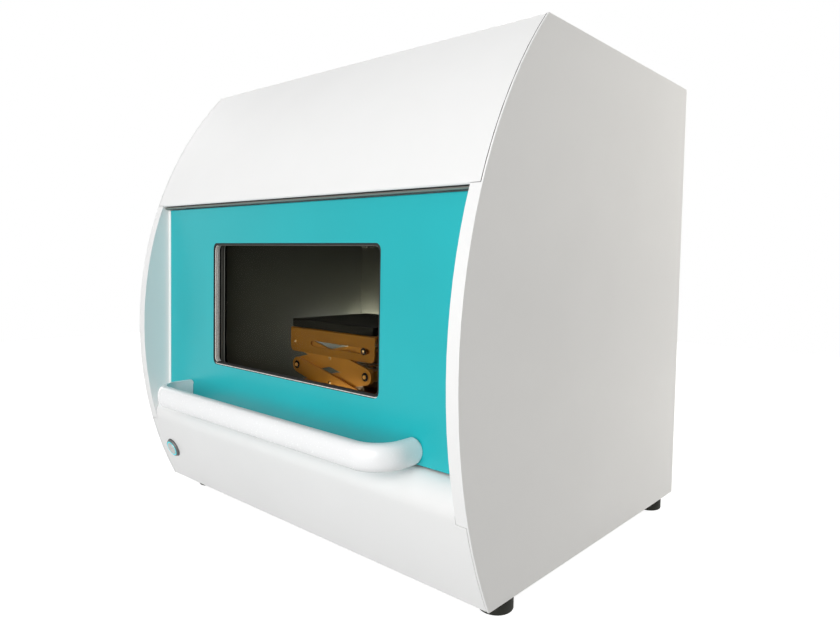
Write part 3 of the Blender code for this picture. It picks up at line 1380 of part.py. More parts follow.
def scissor_jack():
    """The sample jack: a chain of axes from the base to the level top."""
    spot = jack_places()
    middle = at(JACK_MIDDLE)
    jack_tray("jack_base", JACK_BASE, True)
    top = jack_tray("jack_top", JACK_TRAY_TOP, False)
    plate_on_top = jack_stage_plate()
    lower_a, lower_b, upper_a, upper_b = jack_arms()
    screw_bar = jack_bar("jack_screw_bar", JACK_RIGHT, JACK_SCREW_RADIUS + SEAT_GAP)
    nut_bar = jack_bar("jack_nut_bar", JACK_LEFT, JACK_SCREW_RADIUS + SEAT_GAP)
    spindle, knob = jack_spindle(), jack_knob()

    def axis(name, key, parent=None):
        x, z = spot[key]
        return joint_axis(name, (x, middle, z), parent)

    lift = axis("jack_lift_axis", "low_left")
    cross = axis("jack_cross_axis", "low_centre", lift)
    elbow = axis("jack_elbow_axis", "mid_right", lift)
    tilt = axis("jack_top_axis", "high_left", elbow)
    far_elbow = axis("jack_far_elbow_axis", "mid_left", cross)
    screw_level = axis("jack_screw_bar_axis", "mid_right", lift)
    nut_level = axis("jack_nut_bar_axis", "mid_left", cross)
    spin = axis("jack_spindle_axis", "mid_right", screw_level)
    carry(lift, lower_a)
    carry(cross, lower_b)
    carry(elbow, upper_a)
    carry(tilt, top, plate_on_top)
    carry(far_elbow, upper_b)
    carry(screw_level, screw_bar)
    carry(nut_level, nut_bar)
    carry(spin, spindle, knob)


# Measuring head

def head_base_plate():
    """The plate on the chamber ceiling that carries the tube, detector and camera."""
    beam = beam_place()
    bottom = up(CHAMBER_CEILING + CHAMBER_WALL) + SEAT_GAP
    low, high = beam.y - HEAD_BASE_FRONT, beam.y + HEAD_BASE_BACK
    outline = rectangle(-HEAD_BASE_HALF_WIDTH, HEAD_BASE_HALF_WIDTH, low, high)
    hole = circle(beam.x, beam.y, NOSE_TOP_RADIUS + SEAT_GAP)
    base = plate("head_base_plate", [outline, hole], bottom, bottom + HEAD_BASE, plane="XY")
    return finish(base, SILVER)


def head_top():
    return up(CHAMBER_CEILING + CHAMBER_WALL) + SEAT_GAP + HEAD_BASE + SEAT_GAP


def nose_cone():
    """The snout through the ceiling, held by its flange under the head block."""
    beam = beam_place()
    top = head_top() - SEAT_GAP
    tip = up(CHAMBER_CEILING) - NOSE_LENGTH
    bore = BEAM_RADIUS
    shoulder = up(CHAMBER_CEILING)
    profile = [(NOSE_TOP_RADIUS, top), (NOSE_TOP_RADIUS, shoulder), (NOSE_TIP_RADIUS, tip),
               (bore, tip), (bore, top)]
    return finish(turned("nose_cone", profile, beam, closed=True), SILVER)


def head_block():
    """The machined block round the beam, slotted for the collimator wheel."""
    beam, bottom = beam_place(), head_top()
    width = BLOCK_HALF_WIDTH
    body = block("head_block", (-width, beam.y - BLOCK_FRONT, bottom),
                 (width, beam.y + BLOCK_BACK, bottom + BLOCK_HEIGHT))
    low = bottom + WHEEL_HEIGHT - WHEEL_SLOT_GAP
    high = bottom + WHEEL_HEIGHT + WHEEL_THICKNESS + WHEEL_SLOT_GAP
    cut(body, block("wheel_slot", (-width - CUT_OVERRUN, beam.y - BLOCK_FRONT - CUT_OVERRUN, low),
                    (width + CUT_OVERRUN, beam.y + WHEEL_SLOT_DEPTH, high)))
    start = beam + Vector((0, 0, bottom - CUT_OVERRUN))
    end = beam + Vector((0, 0, bottom + BLOCK_HEIGHT + CUT_OVERRUN))
    return finish(cut(body, rod("beam_bore", BEAM_RADIUS, start, end)), SILVER)


def wheel_place():
    return beam_place() + Vector((0, -WHEEL_OFFSET, head_top() + WHEEL_HEIGHT))


def collimator_wheel():
    """A disc of apertures on the motor shaft, which sets one in the beam."""
    place = wheel_place()
    loops = [circle(0, 0, WHEEL_RADIUS)]
    for index in range(WHEEL_HOLES):
        turn = pi / 2 + 2 * pi * index / WHEEL_HOLES
        across, along = WHEEL_OFFSET * cos(turn), WHEEL_OFFSET * sin(turn)
        loops.append(circle(across, along, WHEEL_HOLE_RADIUS, PIN_SEGMENTS))
    disc = plate("collimator_wheel", loops, 0, WHEEL_THICKNESS, plane="XY")
    disc.location += place
    hub_low = place - Vector((0, 0, WHEEL_HUB))
    join(disc, rod("wheel_hub", WHEEL_HUB_RADIUS, hub_low, place + Vector((0, 0, WHEEL_THICKNESS / 2))))
    bore = rod("shaft_bore", MOTOR_SHAFT_RADIUS + SEAT_GAP, hub_low - Vector((0, 0, CUT_OVERRUN)),
               place + Vector((0, 0, WHEEL_THICKNESS + CUT_OVERRUN)))
    cut(disc, bore)
    carry(joint_axis("collimator_axis", place), finish(disc, SILVER))


def collimator_motor():
    """The small stepping motor on the base plate, its shaft up through the wheel."""
    place = wheel_place()
    bottom = head_top()
    top = place.z - WHEEL_HUB - SEAT_GAP
    back = beam_place().y - BLOCK_FRONT - SEAT_GAP
    body = block("collimator_motor", (place.x - MOTOR_HALF, place.y - MOTOR_HALF, bottom),
                 (place.x + MOTOR_HALF, back, top))
    shaft = rod("motor_shaft", MOTOR_SHAFT_RADIUS, (place.x, place.y, top - JOIN_OVERLAP),
                (place.x, place.y, place.z + WHEEL_THICKNESS))
    return finish(join(body, shaft), BLACK_PLASTIC)


def xray_tube():
    """The tube in its shielded housing, standing on the head block."""
    beam = beam_place()
    bottom = head_top() + BLOCK_HEIGHT + SEAT_GAP
    top = up(CASE_HEIGHT) - COVER_SHEET - TUBE_TOP_CLEARANCE
    profile = [(0, top), (TUBE_NECK_RADIUS, top), (TUBE_NECK_RADIUS, top - TUBE_NECK),
               (TUBE_RADIUS, top - TUBE_NECK), (TUBE_RADIUS, bottom), (0, bottom)]
    return finish(turned("xray_tube", profile, beam), ZINC_STEEL)


def fluorescence_detector():
    """The cooled detector beside the head block, with cooling fins on its outer side."""
    beam, bottom = beam_place(), head_top()
    left = TUBE_RADIUS + SEAM_GAP
    right = left + DETECTOR_WIDTH
    low = beam.y + WHEEL_SLOT_DEPTH
    high = low + DETECTOR_DEPTH
    body = block("fluorescence_detector", (left, low, bottom), (right, high, bottom + DETECTOR_HEIGHT))
    pitch = DETECTOR_HEIGHT / (FIN_COUNT + 1)
    gaps = []
    for index in range(1, FIN_COUNT + 1):
        middle = bottom + index * pitch
        gaps.append(((right - FIN_DEPTH, low - CUT_OVERRUN, middle - FIN_GAP / 2),
                     (right + CUT_OVERRUN, high + CUT_OVERRUN, middle + FIN_GAP / 2)))
    return finish(cut(body, blocks("fin_gaps", gaps)), COPPER_HEAT_SINK)


def sample_camera():
    """The camera that views the sample, on the other side of the head block."""
    beam, bottom = beam_place(), head_top()
    right = -BLOCK_HALF_WIDTH - SEAT_GAP
    half = CAMERA_SIZE / 2
    body = block("sample_camera", (right - CAMERA_LENGTH, beam.y - half, bottom),
                 (right, beam.y + half, bottom + CAMERA_SIZE))
    return finish(body, BLACK_PLASTIC)


# Electronics

def hv_generator():
    """The high voltage supply on the base, with its cable socket on top."""
    width, depth = GENERATOR_WIDTH, GENERATOR_DEPTH
    left = GENERATOR_SIDE_GAP - CHAMBER_HALF_WIDTH
    front = at(BULKHEAD_BACK + GENERATOR_SETBACK)
    floor = up(FLOOR_TOP)
    height = CHAMBER_FLOOR - CHAMBER_WALL - GENERATOR_HEADROOM - GENERATOR_SOCKET - FLOOR_TOP
    body = block("hv_generator", (left, front, floor), (left + width, front + depth, floor + height))
    x, y = left + width / 2, front + depth / 2
    socket = rod("hv_socket", GENERATOR_SOCKET_RADIUS, (x, y, floor + height - JOIN_OVERLAP),
                 (x, y, floor + height + GENERATOR_SOCKET), ROUND_SEGMENTS)
    return finish(join(body, socket), ZINC_STEEL)


def power_supply():
    right = CHAMBER_HALF_WIDTH - SUPPLY_SIDE_GAP
    front = at(BULKHEAD_BACK + SUPPLY_SETBACK)
    floor = up(FLOOR_TOP)
    body = block("power_supply", (right - SUPPLY_WIDTH, front, floor),
                 (right, front + SUPPLY_DEPTH, floor + SUPPLY_TALL))
    return finish(bevelled(body, SUPPLY_EDGE, 1), SILVER)


def control_board():
    """The main board on posts from the rear panel, with its larger components."""
    back = at(REAR_FRONT) - SEAT_GAP
    face = back - BOARD_STANDOFF
    left, bottom = BOARD_SIDE_INSET - HALF_WIDTH, up(BOARD_BOTTOM)
    board = block("control_board", (left, face - BOARD_THICKNESS, bottom),
                  (left + BOARD_WIDTH, face, bottom + BOARD_HEIGHT))
    inset = BOARD_POST_INSET
    for x in (left + inset, left + BOARD_WIDTH - inset):
        for z in (bottom + inset, bottom + BOARD_HEIGHT - inset):
            start = face - BOARD_THICKNESS / 2
            join(board, rod("board_post", BOARD_POST_RADIUS, (x, start, z), (x, back, z)))
    for across, along, wide, tall in BOARD_CHIP_SHARES:
        x, z = left + across * BOARD_WIDTH, bottom + along * BOARD_HEIGHT
        near = face - BOARD_THICKNESS - BOARD_CHIP_HEIGHT
        chip = block("board_chip", (x, near, z),
                     (x + wide * BOARD_WIDTH, face - BOARD_THICKNESS / 2, z + tall * BOARD_HEIGHT))
        join(board, chip)
    return finish(board, BOARD_GREEN)


def fan_frame():
    """A square fan frame with a round bore and a hub on struts."""
    back = at(REAR_FRONT) - SEAT_GAP
    front = back - FAN_THICKNESS
    half = FAN_SIZE / 2
    x, z = fan_place()
    frame = block("fan_frame", (x - half, front, z - half), (x + half, back, z + half))
    cut(frame, rod("fan_bore", FAN_BORE_RADIUS, (x, front - CUT_OVERRUN, z), (x, back + CUT_OVERRUN, z),
                   ROUND_SEGMENTS * 2))
    hub = rod("fan_stator", FAN_HUB_RADIUS, (x, back - FAN_STATOR, z), (x, back, z), ROUND_SEGMENTS)
    join(frame, hub)
    reach = FAN_BORE_RADIUS + JOIN_OVERLAP
    for index in range(FAN_STRUTS):
        strut = block("fan_strut", (0, -FAN_STATOR + SEAT_GAP, -FAN_STRUT / 2),
                      (reach, -SEAT_GAP, FAN_STRUT / 2))
        turn = Matrix.Rotation(2 * pi * index / FAN_STRUTS + pi / FAN_STRUTS, 4, "Y")
        strut.rotation_euler = turn.to_euler()
        strut.location = Vector((x, back, z)) + turn @ strut.location
        join(frame, strut)
    bearing = rod("fan_bearing", FAN_SHAFT_RADIUS + SEAT_GAP, (x, back - FAN_STATOR - CUT_OVERRUN, z),
                  (x, back + CUT_OVERRUN, z))
    return finish(cut(frame, bearing), FAN_BLACK)


def fan_rotor():
    """The fan's hub and pitched blades, on a shaft that runs in the frame's bearing."""
    back = at(REAR_FRONT) - SEAT_GAP - FAN_STATOR - FAN_HUB_GAP
    middle = back - FAN_HUB_LENGTH / 2
    x, z = fan_place()
    rotor = rod("fan_rotor", FAN_HUB_RADIUS, (x, back - FAN_HUB_LENGTH, z), (x, back, z), ROUND_SEGMENTS)
    inner = FAN_HUB_RADIUS - FAN_BLADE_SHEET
    for index in range(FAN_BLADES):
        blade = block("fan_blade", (inner, -FAN_BLADE_SHEET / 2, -FAN_BLADE_CHORD / 2),
                      (FAN_BLADE_RADIUS, FAN_BLADE_SHEET / 2, FAN_BLADE_CHORD / 2))
        turn = Matrix.Rotation(2 * pi * index / FAN_BLADES, 4, "Y")
        pitch = Matrix.Rotation(FAN_BLADE_PITCH, 4, "X")
        blade.rotation_euler = (turn @ pitch).to_euler()
        blade.location = Vector((x, middle, z)) + turn @ blade.location
        join(rotor, blade)
    join(rotor, rod("fan_shaft", FAN_SHAFT_RADIUS, (x, back - FAN_HUB_LENGTH / 2, z),
                    (x, back + FAN_HUB_GAP + FAN_STATOR / 2, z)))
    carry(joint_axis("fan_axis", (x, middle, z)), finish(rotor, FAN_BLACK))


# Sockets in the rear panel

def power_entry():
    """The flanged mains module: a socket with three blades, and a pocket for the rocker."""
    x, z = HALF_WIDTH - INLET_SIDE_INSET, up(INLET_HEIGHT)
    outside = at(REAR_BACK)
    half, tall = INLET_FLANGE_WIDTH / 2, INLET_FLANGE_HEIGHT / 2
    outline = rectangle(x - half, x + half, z - tall, z + tall, INLET_CORNER)
    flange = plate("power_entry", [outline], outside + SEAT_GAP, outside + SEAT_GAP + INLET_FLANGE)
    half, tall = INLET_BODY_WIDTH / 2, INLET_BODY_HEIGHT / 2
    body = block("inlet_body", (x - half, outside - INLET_BODY_DEPTH, z - tall),
                 (x + half, outside + SEAT_GAP + INLET_FLANGE / 2, z + tall))
    join(flange, body)
    face = outside + SEAT_GAP + INLET_FLANGE
    low = z - SOCKET_DROP
    wide, tall, cant = SOCKET_WIDTH / 2, SOCKET_HEIGHT / 2, SOCKET_CHAMFER
    corners = [(x - wide, low - tall), (x + wide, low - tall),
               (x + wide, low + tall - cant), (x + wide - cant, low + tall),
               (x - wide + cant, low + tall), (x - wide, low + tall - cant)]
    cut(flange, plate("socket_room", [corners], face - SOCKET_DEPTH, face + CUT_OVERRUN))
    for side, rise in ((-1, 0), (0, 1), (1, 0)):
        bx, bz = x + side * BLADE_SPREAD, low + (rise - 1 / 2) * BLADE_RISE
        root = face - SOCKET_DEPTH
        join(flange, block("mains_blade", (bx - BLADE_WIDTH / 2, root - JOIN_OVERLAP, bz - BLADE_HEIGHT / 2),
                           (bx + BLADE_WIDTH / 2, root + BLADE_LENGTH, bz + BLADE_HEIGHT / 2)))
    rz = z + ROCKER_RISE
    wide, tall = ROCKER_WIDTH / 2 + ROCKER_GAP, ROCKER_HEIGHT / 2 + ROCKER_GAP
    cut(flange, block("rocker_room", (x - wide, face - ROCKER_POCKET, rz - tall),
                      (x + wide, face + CUT_OVERRUN, rz + tall)))
    return finish(flange, BLACK_PLASTIC)


def rocker_axis():
    face = at(REAR_BACK) + SEAT_GAP + INLET_FLANGE
    across = HALF_WIDTH - INLET_SIDE_INSET
    return Vector((across, face - ROCKER_PIVOT, up(INLET_HEIGHT) + ROCKER_RISE))


def mains_rocker():
    """The rocker of the mains switch: two faces that meet at a shallow angle, one pressed in."""
    axis = rocker_axis()
    face = ROCKER_PIVOT
    half = ROCKER_WIDTH / 2
    crest = face + ROCKER_PROUD
    dip = crest - half * tan(ROCKER_TILT)
    outline = [(-half, 0), (0, -ROCKER_PIVOT / 2), (half, 0), (half, crest), (0, dip), (-half, dip)]
    rocker = plate("mains_rocker", [outline], -ROCKER_HEIGHT / 2, ROCKER_HEIGHT / 2, plane="XY")
    rocker.location += axis
    rocker.rotation_euler = (0, 0, ROCKER_TILT)
    reach = ROCKER_HEIGHT / 2 + ROCKER_GAP / 2
    end = Vector((0, 0, reach))
    join(rocker, rod("rocker_pin", ROCKER_PIN_RADIUS, axis - end, axis + end))
    carry(joint_axis("rocker_axis", axis), finish(rocker, BLACK_PLASTIC))


def data_port():
    """The data sockets, in one block through the rear panel."""
    x, z = DATA_SIDE_INSET - HALF_WIDTH, up(DATA_HEIGHT)
    face = at(REAR_BACK) + DATA_PROUD
    body = block("data_port", (x - DATA_WIDTH / 2, face - DATA_DEPTH, z - DATA_TALL / 2),
                 (x + DATA_WIDTH / 2, face, z + DATA_TALL / 2))
    sockets = ((x - DATA_SQUARE_OFFSET, DATA_SQUARE_WIDTH, DATA_SQUARE_TALL),
               (x + DATA_WIDE_OFFSET, DATA_WIDE_WIDTH, DATA_WIDE_TALL))
    for middle, wide, tall in sockets:
        cut(body, block("data_socket", (middle - wide / 2, face - DATA_SOCKET_DEPTH, z - tall / 2),
                        (middle + wide / 2, face + CUT_OVERRUN, z + tall / 2)))
    return finish(body, SILVER)


def build_case():
    base_chassis()
    side_panel("side_panel_left", -1)
    side_panel("side_panel_right", 1)
    hood_cover()
    top_cover()
    lower_front_panel()
    rear_panel()
    feet()
    front_bulkhead()
    sample_chamber()
    chamber_lamp()
    interlock_switch()
    door_gasket()
    hinge_rail()
    hinge_pin()
    lip_strip()


def build_head():
    head_base_plate()
    nose_cone()
    head_block()
    xray_tube()
    collimator_wheel()
    collimator_motor()
    fluorescence_detector()
    sample_camera()


def build_electronics():
    hv_generator()
    power_supply()
    control_board()
    fan_frame()
    fan_rotor()
    power_entry()
    mains_rocker()
    data_port()


def main():
    build_case()
    door()
    power_button()
    scissor_jack()
    build_head()
    build_electronics()


main()
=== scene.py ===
"""Looks of a benchtop x-ray fluorescence spectrometer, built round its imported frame.

Units are metres and +Z is up. The door is on the -Y side. Every piece has its place in its
mesh and rides on a body of the frame, so one scene serves every pose of the joints.
"""

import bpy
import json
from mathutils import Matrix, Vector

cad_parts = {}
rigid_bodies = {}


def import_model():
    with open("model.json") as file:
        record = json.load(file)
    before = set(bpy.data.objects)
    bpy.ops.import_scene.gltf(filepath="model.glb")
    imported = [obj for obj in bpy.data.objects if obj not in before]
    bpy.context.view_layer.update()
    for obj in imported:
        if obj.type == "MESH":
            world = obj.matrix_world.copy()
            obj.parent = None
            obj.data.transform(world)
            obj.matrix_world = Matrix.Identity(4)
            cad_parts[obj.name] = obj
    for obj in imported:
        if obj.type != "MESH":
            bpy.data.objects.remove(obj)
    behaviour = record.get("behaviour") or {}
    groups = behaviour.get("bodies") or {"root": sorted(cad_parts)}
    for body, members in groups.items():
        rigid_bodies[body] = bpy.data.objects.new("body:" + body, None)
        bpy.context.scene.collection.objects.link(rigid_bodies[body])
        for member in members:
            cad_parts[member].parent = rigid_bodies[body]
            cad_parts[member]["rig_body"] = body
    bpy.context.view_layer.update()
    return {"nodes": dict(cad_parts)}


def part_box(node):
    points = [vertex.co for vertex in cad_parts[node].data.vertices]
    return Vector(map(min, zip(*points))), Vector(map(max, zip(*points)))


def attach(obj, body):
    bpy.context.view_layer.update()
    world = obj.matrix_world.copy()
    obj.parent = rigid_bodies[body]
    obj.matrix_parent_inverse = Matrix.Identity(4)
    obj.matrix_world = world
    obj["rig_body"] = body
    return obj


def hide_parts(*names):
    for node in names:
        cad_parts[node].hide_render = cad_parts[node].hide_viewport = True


bl_info = {
    "name": "X-ray Fluorescence Spectrometer",
    "version": (1, 0, 0),
    "blender": (4, 5, 0),
    "location": "3D View > Sidebar > Spectrometer",
    "description": "Builds the visible pieces, finishes and studio of a benchtop spectrometer",
    "category": "Add Mesh",
}

import json
from math import copysign, cos, pi, radians, sin

import bmesh
import bpy
from bpy.props import FloatProperty, FloatVectorProperty, IntProperty, PointerProperty
from mathutils import Matrix, Vector

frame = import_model()
NODES = frame["nodes"]

# Mesh work: distances that weld points and part surfaces, angles, steps round a turned shape,
# the edge of the finest pieces
WELD = 0.00001
STAND_OFF = 0.0001
FLAT_ANGLE = radians(0.4)
SMOOTH_ANGLE = radians(30)
ROUND_STEPS = 48
PIN_STEPS = 24
FINE_EDGE = 0.0003

# Studio floor: half its side, the scale and spread of its grain, where its glow fades
FLOOR_HALF = 2.2
FLOOR_GRAIN = 40.0
FLOOR_SPREAD = 0.01
FLOOR_FADE = (0.9, 1.9)

# Directions and places taken from the frame
OUTWARD = (0, -1, 0)
BACKWARD = (0, 1, 0)
DOOR_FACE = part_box("door_panel")[0].y
STRIP_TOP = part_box("lip_strip")[1].z
PIVOT_X = 0.065
PIVOT_LOW, PIVOT_MID, PIVOT_HIGH = 0.1731, 0.2041, 0.2351
BUTTON_PLACE = (-0.2528, -0.202446, 0.0701)
BUTTON_OUTWARD = (0.0, -0.939195, -0.343385)

# Faces of the sheets: where cut ends begin, how deep the hood's lip is, and the parts of a
# normal that tell an end, an underside and the cut edge of the window
# The cut ends and the underside of the lip found with these get a dark finish that paints the
# shade of the seams.
SEAM_X = 0.286
LIP_DEPTH = 0.002
SIDEWAYS, DOWNWARD, EDGEWISE = 0.95, -0.9, 0.5

# Screws, marks and rivets
REAR_SCREW_LEVELS = (0.048, 0.21, 0.375, 0.545)
BASE_SCREW_XS = (-0.09, 0.09)
TOP_SCREW_XS = (-0.27, -0.09, 0.09, 0.27)
REAR_INSET = 0.009
FAN_INSET = 0.007
RETAINER_INSET = 0.008
WELD_MARKS = ((-0.1757, 0.3787), (-0.1006, 0.3796), (-0.1901, 0.1270), (-0.1981, 0.1000))
MARK_SINK = 0.00001

# The jack's fasteners: how far the bars stand out past the arms, the washers' thickness and
# the lift of the heads on them, the screws' height, and the sizes of hole, socket and pin washer
BAR_PROUD = 0.0006
WASHER_THICK, WASHER_LIFT = 0.0004, 0.0005
SCREW_HEIGHT = 0.0017
HOLE_SHARE, SOCKET_SHARE, PIN_SHARE = 0.8, 0.42, 0.85


def amount(name, description, default, **limits):
    return FloatProperty(name=name, description=description, default=default, **limits)


def length(name, description, default):
    return amount(name, description, default, min=0.0, precision=5, subtype="DISTANCE",
                  unit="LENGTH")


def share(name, description, default):
    return amount(name, description, default, min=0.0, max=1.0, subtype="FACTOR")


def angle(name, description, default):
    return amount(name, description, default, precision=4, subtype="ANGLE", unit="ROTATION")


def colour(name, description, default):
    return FloatVectorProperty(name=name, description=description, default=default, size=3,
                               min=0.0, max=1.0, subtype="COLOR")


def group(kind, name, description):
    return PointerProperty(type=kind, name=name, description=description)


class SPECTROMETER_PG_paints(bpy.types.PropertyGroup):
    """Colours of the painted and moulded pieces."""
    white: colour("White", "Powder coat of the case", (0.83, 0.83, 0.825))
    teal: colour("Teal", "Powder coat of the door", (0.010, 0.415, 0.452))
    handle: colour("Handle", "Lacquer of the door handle", (0.87, 0.875, 0.88))
    grey: colour("Grey", "Powder coat of the rear and the base", (0.50, 0.51, 0.505))
    chamber: colour("Chamber", "Lining paint of the sample chamber", (0.085, 0.088, 0.072))
    rubber: colour("Rubber", "Feet and door seal", (0.012, 0.0125, 0.0085))
    plastic: colour("Plastic", "Moulded black pieces", (0.022, 0.022, 0.024))
    ring: colour("Ring", "Lit ring of the power button", (0.03, 0.72, 0.80))
    board: colour("Board", "Lacquer of the control board", (0.015, 0.13, 0.06))
    lamp: colour("Lamp", "Diffuser of the chamber lamp", (0.90, 0.90, 0.86))


class SPECTROMETER_PG_metals(bpy.types.PropertyGroup):
    """Colours of the bare and anodised metals."""
    silver: colour("Silver", "Bright cast and machined metal", (0.70, 0.70, 0.68))
    zinc: colour("Zinc", "Plated sheet", (0.52, 0.53, 0.54))
    shield: colour("Shield", "Inner half of the door", (0.045, 0.045, 0.042))
    bronze: colour("Bronze", "Anodised arms of the jack", (0.56, 0.24, 0.030))
    # A darker copy of the arms' bronze that paints the shade on the trays
    tray: colour("Tray", "Anodised trays of the jack", (0.34, 0.140, 0.008))
    plate: colour("Plate", "Anodised stage plate", (0.009, 0.008, 0.006))
    # The two halves' colours are painted reflections on one metal strip: warm brown-grey above,
    # grey-green below.
    strip_upper: colour("Strip, upper", "Upper half of the strip under the hood",
                        (0.30, 0.255, 0.225))
    strip_lower: colour("Strip, lower", "Lower half of the strip under the hood",
                        (0.155, 0.205, 0.19))
    # Grey that paints the light caught by the groove edges beside the window and the lit line atop
    # the sleeves
    reveal: colour("Reveal", "Grey strips beside the window", (0.115, 0.115, 0.10))
    copper: colour("Copper", "Cooling fins of the detector", (0.55, 0.33, 0.22))


class SPECTROMETER_PG_edges(bpy.types.PropertyGroup):
    """How softly the edges of each kind of piece are broken."""
    sheet: length("Sheet", "Edge of the painted sheets", 0.0006)
    panel: length("Panel", "Edge of the side panels", 0.0010)
    small: length("Small", "Edge of small machined pieces", 0.0004)
    steps: IntProperty(name="Steps", description="Faces across a softened edge", default=3,
                       min=1, max=6)


class SPECTROMETER_PG_window(bpy.types.PropertyGroup):
    """Trims of the window, measured from the opening in the door sheet."""
    flange: length("Flange", "Width of the lining's flange behind the sheet", 0.009)
    trim: length("Trim", "Width of the black trim between sheet and lining", 0.0011)
    corner: length("Corner", "Corner radius of the opening", 0.0072)
    sleeve: length("Sleeve", "How far in from the opening the bright sleeve starts", 0.0023)
    # The brighter front of the sleeve is a painted highlight on its rim.
    sleeve_step: length("Sleeve step", "Depth at which the polished front of it ends", 0.0036)
    sleeve_end: length("Sleeve end", "How far behind the door's face it ends", 0.0070)
    sill_drop: length("Sill drop", "How far the inner half lies below the sill", 0.003)
    # The two grey bands at these depths are painted highlights of the edges of the shield's
    # grooves.
    strip_depth: length("Strip depth", "Depth of the grey strip in the reveal", 0.0110)
    strip_width: length("Strip width", "Width of the grey strip", 0.0030)
    back_highlight_depth: length("Bead depth", "Depth of the glazing bead", 0.0149)
    back_highlight_width: length("Bead width", "Width of the glazing bead", 0.0013)


class SPECTROMETER_PG_handle(bpy.types.PropertyGroup):
    """Sizes of the swept bar handle."""
    bend: length("Bend", "Radius of the bends at the rim", 0.028)
    dome: length("Dome", "How far the front is domed", 0.011)
    rim: length("Rim", "Width of the rims beside the channel", 0.0016)
    channel: length("Channel", "Depth of the channel behind", 0.0010)
    end_round: length("End round", "Rounding where the legs meet the door", 0.0050)


class SPECTROMETER_PG_fasteners(bpy.types.PropertyGroup):
    """Sizes of screws, rivets and their washers."""
    case_screw: length("Case screw", "Head radius of the screws at the back", 0.0032)
    door_screw: length("Door screw", "Head radius of the glass retainer's screws", 0.0024)
    pivot_screw: length("Pivot screw", "Head radius of the screws in the jack's bars", 0.0024)
    pivot_ring: length("Pivot ring", "Radius of the black washers round them", 0.0052)
    rivet: length("Rivet", "Radius of the jack's bright rivets", 0.0021)
    high_head: length("High head", "Height of the rivets on the trays", 0.0012)
    low_head: length("Low head", "Height of the rivets on the arms, clear of the trays", 0.0004)
    weld_mark: length("Weld mark", "Radius of the faint marks on the side panels", 0.0048)


class SPECTROMETER_PG_camera(bpy.types.PropertyGroup):
    """The photograph's viewpoint."""
    place: FloatVectorProperty(name="Place", description="Where the camera stands",
                               default=(0.6346, -0.6643, 0.3464), size=3, precision=4,
                               subtype="TRANSLATION", unit="LENGTH")
    yaw: angle("Yaw", "Turn to the right of the depth axis", -0.7089)
    pitch: angle("Pitch", "Look upwards", -0.0509)
    roll: angle("Roll", "Lean about the line of sight", 0.0193)
    lens: amount("Lens", "Focal length in millimetres", 28.23, min=1.0)
    shift_x: amount("Shift X", "Sideways shift of the frame", -0.0213)
    shift_y: amount("Shift Y", "Upwards shift of the frame", -0.0271)


class SPECTROMETER_PG_lights(bpy.types.PropertyGroup):
    """Strengths of the studio light."""
    surround: amount("Surround", "Level of the light from all round", 0.12)
    key: amount("Key", "Power of the lamp straight in front", 17.0)
    front: amount("Front", "Power of the lamp at the front right", 42.0)
    side: amount("Side", "Power of the lamp that grazes the right side", 9.4)
    top: amount("Top", "Power of the lamp overhead", 4.5)
    rear: amount("Rear", "Power of the lamp above the back", 30.0)
    left: amount("Left", "Power of the lamp at the left side", 14.0)
    chamber: amount("Chamber", "Power of the lamp at the top of the chamber", 0.03)
    jack_glow: amount("Jack glow", "Power of the low lamp behind the window", 0.03)
    wall_glow: amount("Wall glow", "Power of the lamp at the chamber's back wall", 0.19)
    corner_glow: amount("Corner glow", "Power of the lamp in the chamber's back corner", 0.24)
    floor_glow: share("Floor glow", "Level at which the floor shows in full shadow", 0.89)
    floor_matt: share("Floor matt", "How much of the light the floor gives back", 0.42)


class SPECTROMETER_PG_settings(bpy.types.PropertyGroup):
    """All settings of the spectrometer."""
    paints: group(SPECTROMETER_PG_paints, "Paints", "Painted and moulded colours")
    metals: group(SPECTROMETER_PG_metals, "Metals", "Metal colours")
    edges: group(SPECTROMETER_PG_edges, "Edges", "Softened edges")
    window: group(SPECTROMETER_PG_window, "Window", "Trims of the window")
    handle: group(SPECTROMETER_PG_handle, "Handle", "Sizes of the handle")
    fasteners: group(SPECTROMETER_PG_fasteners, "Fasteners", "Screws, rivets and washers")
    camera: group(SPECTROMETER_PG_camera, "Camera", "Viewpoint")
    lights: group(SPECTROMETER_PG_lights, "Lights", "Studio light")


def settings():
    return bpy.context.scene.spectrometer


# Finishes

class Graph:
    """The nodes of a material or a world under construction."""

    def __init__(self, owner):
        owner.use_nodes = True
        self.nodes = owner.node_tree.nodes
        self.links = owner.node_tree.links
        self.place = self.nodes.new("ShaderNodeTexCoord").outputs["Object"]

    def add(self, kind, inputs, output=0, **settings_of_node):
        node = self.nodes.new(kind)
        for key, value in settings_of_node.items():
            setattr(node, key, value)
        for key, value in inputs.items():
            self.feed(node.inputs[key], value)
        return node.outputs[output]

    def feed(self, socket, value):
        if isinstance(value, bpy.types.NodeSocket):
            self.links.new(value, socket)
        elif isinstance(socket.default_value, float):
            socket.default_value = value
        else:
            longer = len(socket.default_value) > len(value)
            socket.default_value = (*value, 1.0) if longer else value


